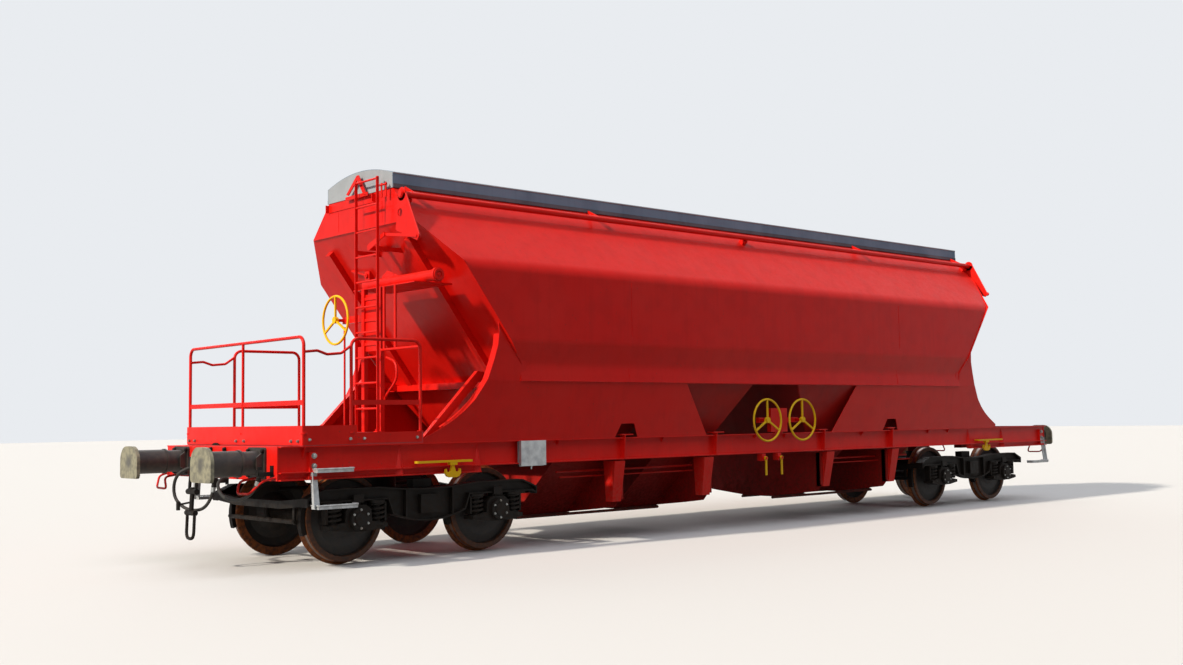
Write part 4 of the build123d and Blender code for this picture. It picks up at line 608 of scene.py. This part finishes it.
# End walls: bracket and eyes at the top, fold strip across the head's lower edge, lock lever on the slope
TOP_BRACKET = ((-0.238, 4.049), (-0.075, 4.290), (-0.035, 4.290), (0.195, 4.100), (0.150, 4.085),
               (-0.045, 4.235), (-0.180, 4.049))
LOCK_Y, LOCK_Z = 0.340, 3.200
for e, end in ENDS:
    bm = bmesh.new()
    x = e * (END_X + 0.052)
    slab(bm, [(x, y, z) for y, z in TOP_BRACKET], (e * 0.012, 0, 0))
    bar(bm, (x - 0.006, -0.260, 4.035), (x + 0.006, 0.220, 4.075))
    for y in (-0.640, -0.550):
        slab(bm, [(x, y - 0.014, 3.966), (x, y - 0.010, 4.130), (x, y + 0.010, 4.130), (x, y + 0.014, 3.966)],
             (e * 0.010, 0, 0))
    rod(bm, (x + e * 0.010, -0.660, 4.105), (x + e * 0.010, -0.530, 4.105), 0.012, 10)
    bar(bm, (e * END_X, -1.040, END_FOLD - 0.012), (e * (END_X + 0.006), 1.040, END_FOLD + 0.010))
    x = e * (end_x(LOCK_Z) + 0.030)
    rod(bm, (x, LOCK_Y, LOCK_Z), (x + e * 0.050, LOCK_Y, LOCK_Z), 0.030, 14)
    x += e * 0.045
    rod(bm, (x, LOCK_Y, LOCK_Z), (x, LOCK_Y + 0.280, LOCK_Z + 0.075), 0.011, 8)
    rod(bm, (x, LOCK_Y + 0.300, LOCK_Z + 0.080), (x, LOCK_Y + 0.220, LOCK_Z + 0.060), 0.017, 10)
    bar(bm, (e * end_x(LOCK_Z + 0.050) - 0.020, LOCK_Y - 0.050, LOCK_Z - 0.050),
        (e * (end_x(LOCK_Z - 0.050) + 0.035) + 0.005, LOCK_Y + 0.050, LOCK_Z + 0.050))
    piece(f"end_brackets_{end}", bm, red_sections, "wagon", smooth=True)

# Cross tube at the platform end: its strap and the ring of its cap, and the stiffeners behind the ladder
CAP_X, CAP_Y, CAP_Z = -5.480, -1.384, 3.040
CAP_STEPS = 20
bm = bmesh.new()
slab(bm, [(-5.490, y, z) for y, z in ((-0.700, 3.080), (-0.560, 3.010), (-0.300, 3.110), (-0.420, 3.175))],
     (-0.012, 0, 0))
for k in range(CAP_STEPS):
    a, b = (2 * math.pi * i / CAP_STEPS for i in (k, k + 1))
    slab(bm, [(CAP_X + r * math.cos(turn), CAP_Y, CAP_Z + r * math.sin(turn))
              for r, turn in ((0.040, a), (0.060, a), (0.060, b), (0.040, b))], (0, -0.014, 0))
rod(bm, (CAP_X, CAP_Y, CAP_Z), (CAP_X, CAP_Y - 0.020, CAP_Z), 0.010, 8)
for z in (2.35, 2.62, 2.86):
    bar(bm, (-5.645, -0.440, z - 0.015), (-5.630, -0.170, z + 0.015))
piece("tube_strap", bm, red_sections, "wagon", smooth=True)
tube("brake_pipe_up", [(-5.600, -0.549, 2.190), (-5.600, -0.749, 2.130), (-5.600, -0.762, 1.940),
                       (-5.600, -0.488, 1.730), (-5.600, -0.470, DECK_Z + 0.002)],
     0.014, red_sections, "wagon", bend=0.10)
tube("wheel_chain_rod", [(-5.640, 0.270, 2.575), (-5.640, 0.270, DECK_Z + 0.002)], 0.012, red_sections,
     "wagon")

# Ladder: brackets at the feet and the folded tops of its stiles
bm = bmesh.new()
for y in (-0.085, -0.533):
    bar(bm, (-5.735, y - 0.035, DECK_Z), (-5.665, y + 0.035, DECK_Z + 0.010))
    bolt(bm, (-5.722, y, DECK_Z + 0.010), (0, 0, 1), 0.022)
    rod(bm, (-5.700, y, 4.190), (-5.700, y, 4.205), 0.016, 10)
piece("ladder_feet", bm, red_sections, "wagon")

# Handrails: round feet of the posts
RAIL_Y = 1.295
POSTS = [(-7.030, y) for y in (-RAIL_Y, 0, RAIL_Y)]
POSTS += [(x, y) for x in (-5.659, -6.494) for y in (-RAIL_Y, RAIL_Y)]
bm = bmesh.new()
for x, y in POSTS:
    rod(bm, (x, y, DECK_Z - 0.002), (x, y, DECK_Z + 0.014), 0.036, 16)
piece("handrail_feet", bm, red_sections, "wagon", smooth=True)

# Steps: folded treads with rounded outer corners on a flat hanger, each hanger carried by a bracket
# with two big bolts on the sill. The brake end has two treads and the plain end one.
TREAD_LOW, TREAD_HIGH = 0.637, 0.995
TREAD_Y = (1.272, 1.412)
TREAD_ROUND = 0.050
HANGER_Y = 1.345


def tread(bm, e, s, inner, outer, y_out, z):
    """One tread from its inner end to its rounded outer end, with a rim and a row of round lugs."""
    outline = [(inner, TREAD_Y[0]), (inner, y_out)]
    for k in range(7):
        turn = math.pi / 2 * k / 6
        in_x, in_y = TREAD_ROUND * (1 - math.sin(turn)), TREAD_ROUND * (1 - math.cos(turn))
        outline.append((outer + in_x, y_out - in_y))
    outline.append((outer, TREAD_Y[0]))
    slab(bm, [(e * x, s * y, z - 0.006) for x, y in outline], (0, 0, 0.034))
    rim = [(e * x, s * y, z + 0.030) for x, y in outline]
    for a, b in zip(rim, rim[1:]):
        rod(bm, a, b, 0.0085, 8)
    for k in range(8):
        x = inner - 0.050 - 0.045 * k
        rod(bm, (e * x, s * 1.335, z + 0.026), (e * x, s * 1.335, z + 0.033), 0.013, 10)


def step(e, s, tag, middle, treads, top):
    """Treads on their hanger, the hanger's bracket and the bracket's bolts."""
    bm = bmesh.new()
    for k, z in enumerate(treads):
        short = k > 0
        tread(bm, e, s, middle + 0.250, middle - (0.180 if short else 0.215),
              TREAD_Y[1] - (0.020 if short else 0.0), z)
    x = middle + 0.240
    slab(bm, [(e * (x - 0.035), s * HANGER_Y, 0.640), (e * (x + 0.035), s * HANGER_Y, 0.640),
              (e * (x + 0.030), s * 1.290, top), (e * (x - 0.030), s * 1.290, top)], (0, s * 0.014, 0))
    slab(bm, [(e * (x + 0.035), s * HANGER_Y, 0.640), (e * (x + 0.035), s * 1.385, 0.640),
              (e * (x + 0.030), s * 1.335, top), (e * (x + 0.030), s * 1.290, top)], (e * 0.007, 0, 0))
    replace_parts(piece(f"step_{tag}", bm, galvanised, "wagon"), "steps")
    bm = bmesh.new()
    bar(bm, (e * x - 0.045, s * SILL_Y, 0.955), (e * x + 0.045, s * 1.300, 1.190))
    bar(bm, (e * x - 0.075, s * SILL_Y, 0.925), (e * x + 0.075, s * 1.330, 0.955))
    piece(f"step_bracket_{tag}", bm, red_sections, "wagon")
    bm = bmesh.new()
    for z in (1.155, 1.055):
        bolt(bm, (e * (x - 0.002), s * 1.300, z), (0, s, 0), 0.042, 0.018)
    piece(f"step_bolts_{tag}", bm, zinc, "wagon")


for s, side in SIDES:
    step(-1, s, f"brake_{side}", 6.680, (TREAD_LOW, TREAD_HIGH), 0.995)
for s, side in SIDES:
    step(1, s, f"plain_{side}", 6.900, (TREAD_LOW,), 1.060)

# Sills: pyramid gussets from the web's top out to the lower flange's edge, and folded posts down the
# outer edge of the funnels' cross walls
PYRAMIDS_X = (5.903, 4.895)
PYRAMID = ((0, 1.263, 1.236), (0, 1.321, 0.933), (-0.055, 1.263, 0.933), (0.055, 1.263, 0.933))
POSTS_X = (2.744, 1.180)
POST_Y, POST_Z = (1.314, 1.226, 1.120), (0.972, 0.485)     # Y outside above, below, inside; Z of the ends
bm = bmesh.new()
for e in (-1, 1):
    for s in (-1, 1):
        for x in PYRAMIDS_X:
            corners = [bm.verts.new((e * x + dx, s * y, z)) for dx, y, z in PYRAMID]
            for k in range(4):
                bm.faces.new(corners[:k] + corners[k + 1:])
        (top_y, low_y, in_y), (top, low) = POST_Y, POST_Z
        for x in POSTS_X:
            a, b = x - 0.008, x + 0.162
            slab(bm, [(e * a, s * top_y, top), (e * b, s * top_y, top), (e * (b - 0.030), s * low_y, low),
                      (e * a, s * low_y, low)], (0, s * 0.010, 0))
            for c, d in ((a, a), (b - 0.010, b - 0.040)):
                slab(bm, [(e * c, s * top_y, top), (e * d, s * low_y, low), (e * d, s * in_y, low),
                          (e * c, s * in_y, top)], (e * 0.010, 0, 0))
piece("sill_posts", bm, red_sections, "wagon")

# Rope hooks: a flat bar with round ends on the sill and a double-horned hook below it
HOOK_BAR_X, HOOK_BAR_Y, HOOK_BAR_Z = (5.030, 5.770), 1.350, (1.040, 1.062)
HOOK_BAR_R = 0.030
HORN = ((0.020, 1.060), (0.020, 0.985), (0.034, 0.945), (0.060, 0.930), (0.078, 0.945), (0.084, 0.972),
        (0.100, 0.968), (0.102, 0.925), (0.080, 0.892), (0.045, 0.880))       # X from the hook's middle, Z


def rope_hook(e, s):
    """One rope hook with its bar, the hook under it and the two pins to the sill."""
    bm = bmesh.new()
    (x0, x1), (z0, z1) = HOOK_BAR_X, HOOK_BAR_Z
    outline = []
    for x, start in ((x1 - HOOK_BAR_R, -90), (x0 + HOOK_BAR_R, 90)):
        for turn in (math.radians(start + 30 * k) for k in range(7)):
            outline.append((e * (x + HOOK_BAR_R * math.cos(turn)),
                            s * (HOOK_BAR_Y + HOOK_BAR_R * math.sin(turn)), z0))
    slab(bm, outline, (0, 0, z1 - z0))
    middle = e * (BOLSTER_X - 0.090)
    slab(bm, [(middle + x, s * 1.338, z) for x, z in HORN]
         + [(middle - x, s * 1.338, z) for x, z in reversed(HORN)], (0, s * 0.026, 0))
    bar(bm, (middle - 0.045, s * 1.322, 1.012), (middle + 0.045, s * 1.378, 1.042))
    for x in (5.10, 5.70):
        rod(bm, (e * x, s * SILL_Y, 1.051), (e * x, s * 1.340, 1.051), 0.012, 10)
    return bm


for e, end in ENDS:
    for s, side in SIDES:
        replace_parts(piece(f"rope_hook_{end}_{side}", rope_hook(e, s), yellow_control, "wagon"), "rope_hooks")

# Document box: rim, rows of ribs, catch and its tongue
BOX_X, BOX_Z = (-4.366, -3.994), (0.960, 1.252)
BOX_RIM = 0.018
bm = bmesh.new()
(x0, x1), (z0, z1) = BOX_X, BOX_Z
for a, b, c, d in ((x0, x1, z0, z0 + BOX_RIM), (x0, x1, z1 - BOX_RIM, z1),
                   (x0, x0 + BOX_RIM, z0, z1), (x1 - BOX_RIM, x1, z0, z1)):
    bar(bm, (a, -1.310, c), (b, -1.302, d))
for z in (z0 + 0.045 + 0.034 * k for k in range(7)):
    bar(bm, (x0 + 0.030, -1.306, z), (x1 - 0.030, -1.3025, z + 0.004))
x = (x0 + x1) / 2
rod(bm, (x, -1.304, 0.975), (x, -1.322, 0.970), 0.018, 12)
bar(bm, (x - 0.008, -1.318, 0.925), (x + 0.008, -1.306, 0.975))
piece("box_frame", bm, aluminium, "wagon")

# Rods along the gates' cranks between the webs, and the two yellow levers below each sill
ROD_X = (1.250, 3.550)
bm = bmesh.new()
levers = bmesh.new()
for s in (-1, 1):
    for e in (-1, 1):
        for y, z, radius, sides in ((1.000, 0.862, 0.014, 10), (1.060, 0.800, 0.010, 8)):
            rod(bm, (e * ROD_X[0], s * y, z), (e * ROD_X[1], s * y, z), radius, sides)
    for apart in (-0.160, 0.160):
        x = s * 0.060 + apart
        bar(bm, (x - 0.035, s * 1.240 - 0.020, 0.890), (x + 0.035, s * 1.350, 0.985))
        rod(bm, (x, s * 1.290, 0.930), (x, s * 1.400, 0.925), 0.020, 12)
        bar(levers, (x - 0.014, s * 1.385 - 0.008, 0.700), (x + 0.014, s * 1.385 + 0.008, 0.930))
        rod(levers, (x, s * 1.385 - 0.012, 0.925), (x, s * 1.385 + 0.012, 0.925), 0.026, 14)
piece("gate_rods", bm, red_sections, "wagon", smooth=True)
piece("gate_levers", levers, yellow_control, "wagon", smooth=True)

# Train pipe along the frame, and the air reservoir in its straps over the platform's bogie
TANK_Y, TANK_Z, TANK_R = 0.560, 1.155, 0.125
tube("train_pipe", [(-7.260, -0.430, 0.970), (-7.100, -0.430, 1.100), (-6.000, -0.300, 1.100),
                    (-4.200, -0.300, 1.100)], 0.019, black_bogie, "wagon", bend=0.12)
bm = bmesh.new()
rod(bm, (-7.08, TANK_Y, TANK_Z), (-6.50, TANK_Y, TANK_Z), TANK_R, 28)
for x in (-6.94, -6.64):
    rod(bm, (x - 0.020, TANK_Y, TANK_Z), (x + 0.020, TANK_Y, TANK_Z), TANK_R + 0.004, 28)
    for y in (TANK_Y - TANK_R - 0.005, TANK_Y + TANK_R - 0.003):
        bar(bm, (x - 0.020, y, TANK_Z), (x + 0.020, y + 0.008, 1.362))
piece("air_reservoir", bm, black_bogie, "wagon", smooth=True)

# Bogies: springs between their seats, hangers and covers of the axle boxes, friction links, brake beams
# with hangers, and stops and ribs on the frames' bellies
SEAT_LOW, SEAT_HIGH = 0.405, 0.668       # under the lower seat, over the upper one
SEAT_R = 0.098
SPRING_X = 0.255         # springs beside the axle
COVER_Y, COVER_R = 1.127, 0.112
COVER_BOLTS, COVER_BOLTS_R = 6, 0.094


def axle_box(bm, bolts, end, body, x, a, s):
    """Springs and fittings of one axle box."""
    y = s * FRAME_Y
    for dx in (-SPRING_X, SPRING_X):
        spring_z = SEAT_LOW + 0.030
        rod(bm, (x + dx, y, SEAT_LOW), (x + dx, y, spring_z), SEAT_R, 20)
        rod(bm, (x + dx, y, SEAT_HIGH - 0.028), (x + dx, y, SEAT_HIGH), SEAT_R, 20)
        coil(f"spring_{end}_{a + 1}_{s + 1}_{int(dx > 0)}", (x + dx, y, spring_z), 0.078, 0.0155,
             0.235, 4.2, black_bogie, body)
        hanger = x + dx * 1.36
        bar(bm, (hanger - 0.012, y - 0.045, 0.450), (hanger + 0.012, y + 0.045, 0.645))
    rod(bm, (x, s * COVER_Y, AXLE_Z), (x, s * (COVER_Y + 0.006), AXLE_Z), COVER_R, 24)
    for k in range(COVER_BOLTS):
        turn = 2 * math.pi * (k + 0.5) / COVER_BOLTS
        bolt(bolts, (x + COVER_BOLTS_R * math.cos(turn), s * (COVER_Y + 0.004),
                     AXLE_Z + COVER_BOLTS_R * math.sin(turn)), (0, s, 0), 0.020, 0.010)
    bar(bm, (x - 0.060, s * 1.062, 0.655), (x + 0.060, s * 1.088, 0.735))


def brake_beam(bm, x):
    """Beam across the bogie behind a wheelset, with its two hangers."""
    rod(bm, (x, -0.740, AXLE_Z - 0.020), (x, 0.740, AXLE_Z - 0.020), 0.024, 12)
    for s in (-1, 1):
        bar(bm, (x - 0.010, s * 0.705 - 0.020, AXLE_Z - 0.010), (x + 0.010, s * 0.705 + 0.020, 0.700))


def frame_belly(bm, x, s):
    """Ribs and stop on the middle of a side frame, and the brake rod beside it."""
    for dx in (-0.300, 0.300):
        bar(bm, (x + dx - 0.010, s * FRAME_Y - 0.063, 0.455), (x + dx + 0.010, s * FRAME_Y + 0.063, 0.760))
    bar(bm, (x - 0.120, s * 1.008, 0.500), (x + 0.120, s * 1.066, 0.700))
    rod(bm, (x - 0.900, s * 0.620, 0.745), (x + 0.900, s * 0.620, 0.745), 0.020, 10)


for e, end in ENDS:
    body = f"bogie_{end}"
    bm = bmesh.new()
    bolts = bmesh.new()
    for a in (-1, 1):
        x = e * BOLSTER_X + a * HALF_BASE
        for s in (-1, 1):
            axle_box(bm, bolts, end, body, x, a, s)
        for d in (-1, 1):
            brake_beam(bm, x + d * 0.530)
    for s in (-1, 1):
        frame_belly(bm, e * BOLSTER_X, s)
    piece(f"bogie_fittings_{end}", bm, black_bogie, body, smooth=True)
    piece(f"box_bolts_{end}", bolts, zinc, body)

# Wheels: seat ring round the hub on both sides of each web
for i, x in enumerate(AXLES, 1):
    bm = bmesh.new()
    for s in (-1, 1):
        rod(bm, (x, s * 0.828, AXLE_Z), (x, s * 0.834, AXLE_Z), 0.128, 28)
        rod(bm, (x, s * 0.655, AXLE_Z), (x, s * 0.660, AXLE_Z), 0.120, 28)
    piece(f"hub_rings_{i}", bm, black_bogie, f"wheelset_{i}", smooth=True)

# Screw couplings, shunters' handles and bolts on the headstocks
HOOK_X, HOOK_Z = 7.560, 1.075


def screw_coupling(e, end):
    """Screw coupling hanging from the hook: its pin, two links, the screw with nuts and handle, the bow."""
    x = e * HOOK_X
    bm = bmesh.new()
    rod(bm, (x, -0.085, HOOK_Z), (x, 0.085, HOOK_Z), 0.020, 12)
    for y in (-0.075, 0.075):
        rod(bm, (x, y, HOOK_Z), (x + e * 0.020, y, 0.800), 0.017, 10)
    rod(bm, (x + e * 0.020, -0.105, 0.795), (x + e * 0.020, 0.105, 0.795), 0.030, 12)
    rod(bm, (x + e * 0.020, 0, 0.840), (x + e * 0.035, 0, 0.560), 0.024, 10)
    rod(bm, (x + e * 0.035, -0.105, 0.580), (x + e * 0.035, 0.105, 0.580), 0.028, 12)
    rod(bm, (x + e * 0.028, 0, 0.690), (x + e * 0.150, 0.050, 0.665), 0.010, 8)
    rod(bm, (x + e * 0.150, 0.050, 0.700), (x + e * 0.150, 0.050, 0.610), 0.020, 10)
    piece(f"screw_coupling_{end}", bm, black_bogie, "wagon", smooth=True)
    tube(f"coupling_link_{end}",
         [(x + e * 0.035, -0.085, 0.580), (x + e * 0.045, -0.085, 0.320), (x + e * 0.045, 0.085, 0.320),
          (x + e * 0.035, 0.085, 0.580)], 0.017, black_bogie, "wagon", bend=0.07)


for e, end in ENDS:
    screw_coupling(e, end)
    for s in (-1, 1):
        tube(f"shunter_handle_{end}_{s + 1}",
             [(e * x, s * y, z) for x, y, z in
              ((7.295, 1.235, 0.955), (7.420, 1.205, 0.925), (7.500, 1.085, 0.800),
               (7.500, 0.832, 0.796), (7.500, 0.885, 0.920), (7.295, 0.885, 0.950))],
             0.012, red_sections, "wagon", bend=0.05)
    bm = bmesh.new()
    for s in (-1, 1):
        for dy in (0.150, -0.150):
            for dz in (0.120, -0.120):
                bolt(bm, (e * (HEAD_X + 0.022), s * (BUFFER_Y + dy), BUFFER_Z + dz), (e, 0, 0), 0.036, 0.020)
    for y in (-0.160, 0.160):
        for z in (1.020, 1.220):
            bolt(bm, (e * (HEAD_X + 0.005), y, z), (e, 0, 0), 0.036, 0.020)
    piece(f"headstock_bolts_{end}", bm, black_bogie, "wagon")

# Brake hoses: each leaves its cock, hangs in a bow and ends in a coupling head on its holder.
# A route's points are in millimetres: out from the headstock, Y, and Z over the rail.
HOSE_ROUTES = {
    "hose_left": ((60, 300, 1020), (240, 330, 990), (270, 480, 870), (260, 500, 690), (240, 330, 590),
                  (220, 110, 560), (190, -90, 590), (160, -200, 720), (150, -210, 810)),
    "hose_right": ((60, -430, 940), (230, -440, 900), (250, -560, 750), (220, -760, 690),
                   (190, -960, 720), (160, -1120, 800), (150, -1170, 900)),
}
HOSE_RADIUS = 0.017
# Starts of the ferrule and of its two bands from a hose's first and last end, along the hose's way
CLAMP_STARTS = ((-0.004, 0.008, 0.036), (-0.050, -0.017, -0.045))
FERRULE_LONG, FERRULE_R = 0.054, 0.0215
BAND_LONG, BAND_R = 0.009, 0.0235
for name, places in HOSE_ROUTES.items():
    route = [Vector((-HEAD_X - x / 1000, y / 1000, RAIL + z / 1000)) for x, y, z in places]
    curve = bpy.data.curves.new(name + "_rubber", "CURVE")
    curve.dimensions = "3D"
    curve.bevel_depth = HOSE_RADIUS
    curve.bevel_resolution = 4
    spline = curve.splines.new("NURBS")
    spline.points.add(len(route) - 1)
    for point, at in zip(spline.points, route):
        point.co = (*at, 1)
    spline.order_u = 3
    spline.use_endpoint_u = True
    spline.resolution_u = 16
    hose = bpy.data.objects.new(name + "_rubber", curve)
    bpy.context.collection.objects.link(hose)
    curve.materials.append(hose_rubber)
    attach(hose, "wagon")
    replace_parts(hose, name)
    leaving = (route[1] - route[0]).normalized()
    arriving = (route[-1] - route[-2]).normalized()
    bm = bmesh.new()
    for at, way, (ferrule, *bands) in zip((route[0], route[-1]), (leaving, arriving), CLAMP_STARTS):
        rod(bm, at + way * ferrule, at + way * (ferrule + FERRULE_LONG), FERRULE_R, 20)
        for start in bands:
            rod(bm, at + way * start, at + way * (start + BAND_LONG), BAND_R, 20)
    clamps = piece(name + "_clamps", bm, zinc, "wagon", smooth=True)
    bm = bmesh.new()
    head = route[-1] + arriving * 0.075
    rod(bm, head - Vector((0.028, 0, 0)), head + Vector((0.016, 0, 0)), 0.040, 20)
    rod(bm, head - Vector((0.036, 0, 0)), head - Vector((0.028, 0, 0)), 0.027, 20)
    bar(bm, head + Vector((-0.026, -0.012, 0.018)), head + Vector((0.010, 0.012, 0.066)))
    coupling_head = piece(name + "_head", bm, black_bogie, "wagon", smooth=True)


# Floor, light and camera


def shown(tree):
    """1 for what is seen directly, in a gloss or through glass, and 0 for light on its way."""
    ray = add(tree, "LightPath")
    seen = add(tree, "Math", {0: ray.outputs["Is Camera Ray"], 1: ray.outputs["Is Glossy Ray"]},
               operation="MAXIMUM")
    return add(tree, "Math", {0: seen, 1: ray.outputs["Is Transmission Ray"]}, operation="MAXIMUM")


bm = bmesh.new()
bmesh.ops.create_grid(bm, x_segments=1, y_segments=1, size=120)
mesh = bpy.data.meshes.new("studio_floor")
bm.to_mesh(mesh)
bm.free()
floor = bpy.data.objects.new("studio_floor", mesh)
bpy.context.collection.objects.link(floor)
floor_paint, tree, shader, place = finish_named("matt_floor_paint")
shader.inputs["Base Color"].default_value = linear("DCDAD6")
shader.inputs["Roughness"].default_value = 0.9
shader.inputs["Specular IOR Level"].default_value = 0.2
# only a dull light comes back up from the floor, so the underside stays dark as under a real wagon
dull = add(tree, "BsdfDiffuse", {"Color": linear("5F5D58")})
blend = add(tree, "MixShader", {0: shown(tree), 1: dull, 2: shader})
tree.links.new(blend.outputs[0], tree.nodes["Material Output"].inputs["Surface"])
mesh.materials.append(floor_paint)

world = bpy.data.worlds.new("studio")
bpy.context.scene.world = world
world.use_nodes = True
tree = world.node_tree
tree.nodes.clear()
plain = add(tree, "Background", {"Color": linear("E9ECF0"), "Strength": 1.0})
fill = add(tree, "Background", {"Color": linear("E4EAF4"), "Strength": 0.22})
add(tree, "OutputWorld", {0: add(tree, "MixShader", {0: shown(tree), 1: fill, 2: plain})})

LIGHTS = (
    # name, towards the light, strength, angle in degrees, colour
    ("key", (-1.0, 0.04, 0.62), 4.0, 3.0, "FFF6E8"),
    ("front_fill", (-1.0, -0.20, 0.12), 0.75, 50.0, "FFFFFF"),
    ("side_fill", (-0.15, -1.0, 2.0), 1.20, 50.0, "F1F4FF"),
    ("back_fill", (0.5, 1.0, 0.8), 0.7, 50.0, "FFFFFF"),
)
for name, towards, strength, angle, colour in LIGHTS:
    lamp = bpy.data.lights.new(name, "SUN")
    lamp.energy = strength
    lamp.angle = math.radians(angle)
    lamp.color = linear(colour)[:3]
    obj = bpy.data.objects.new(name, lamp)
    obj.rotation_euler = Vector(towards).to_track_quat("Z", "Y").to_euler()
    bpy.context.collection.objects.link(obj)

# Camera: the photograph's place, height and lens
yaw, pitch, roll = (math.radians(a) for a in (48.173, 4.062, -0.845))
ahead = Vector((math.cos(yaw) * math.cos(pitch), math.sin(yaw) * math.cos(pitch), math.sin(pitch)))
right = Vector((math.sin(yaw), -math.cos(yaw), 0))
above = right.cross(ahead)
turned_right = right * math.cos(roll) + above * math.sin(roll)
turned_above = above * math.cos(roll) - right * math.sin(roll)
lens = bpy.data.cameras.new("photo_camera")
lens.lens = 38.428
lens.sensor_width = 36.0
lens.shift_y = -0.00196
lens.clip_end = 500
camera = bpy.data.objects.new("photo_camera", lens)
camera.matrix_world = Matrix((
    (turned_right.x, turned_above.x, -ahead.x, -13.196),
    (turned_right.y, turned_above.y, -ahead.y, -12.438),
    (turned_right.z, turned_above.z, -ahead.z, 1.468),
    (0, 0, 0, 1)))
bpy.context.collection.objects.link(camera)
bpy.context.scene.camera = camera
bpy.context.scene.view_settings.view_transform = "Standard"
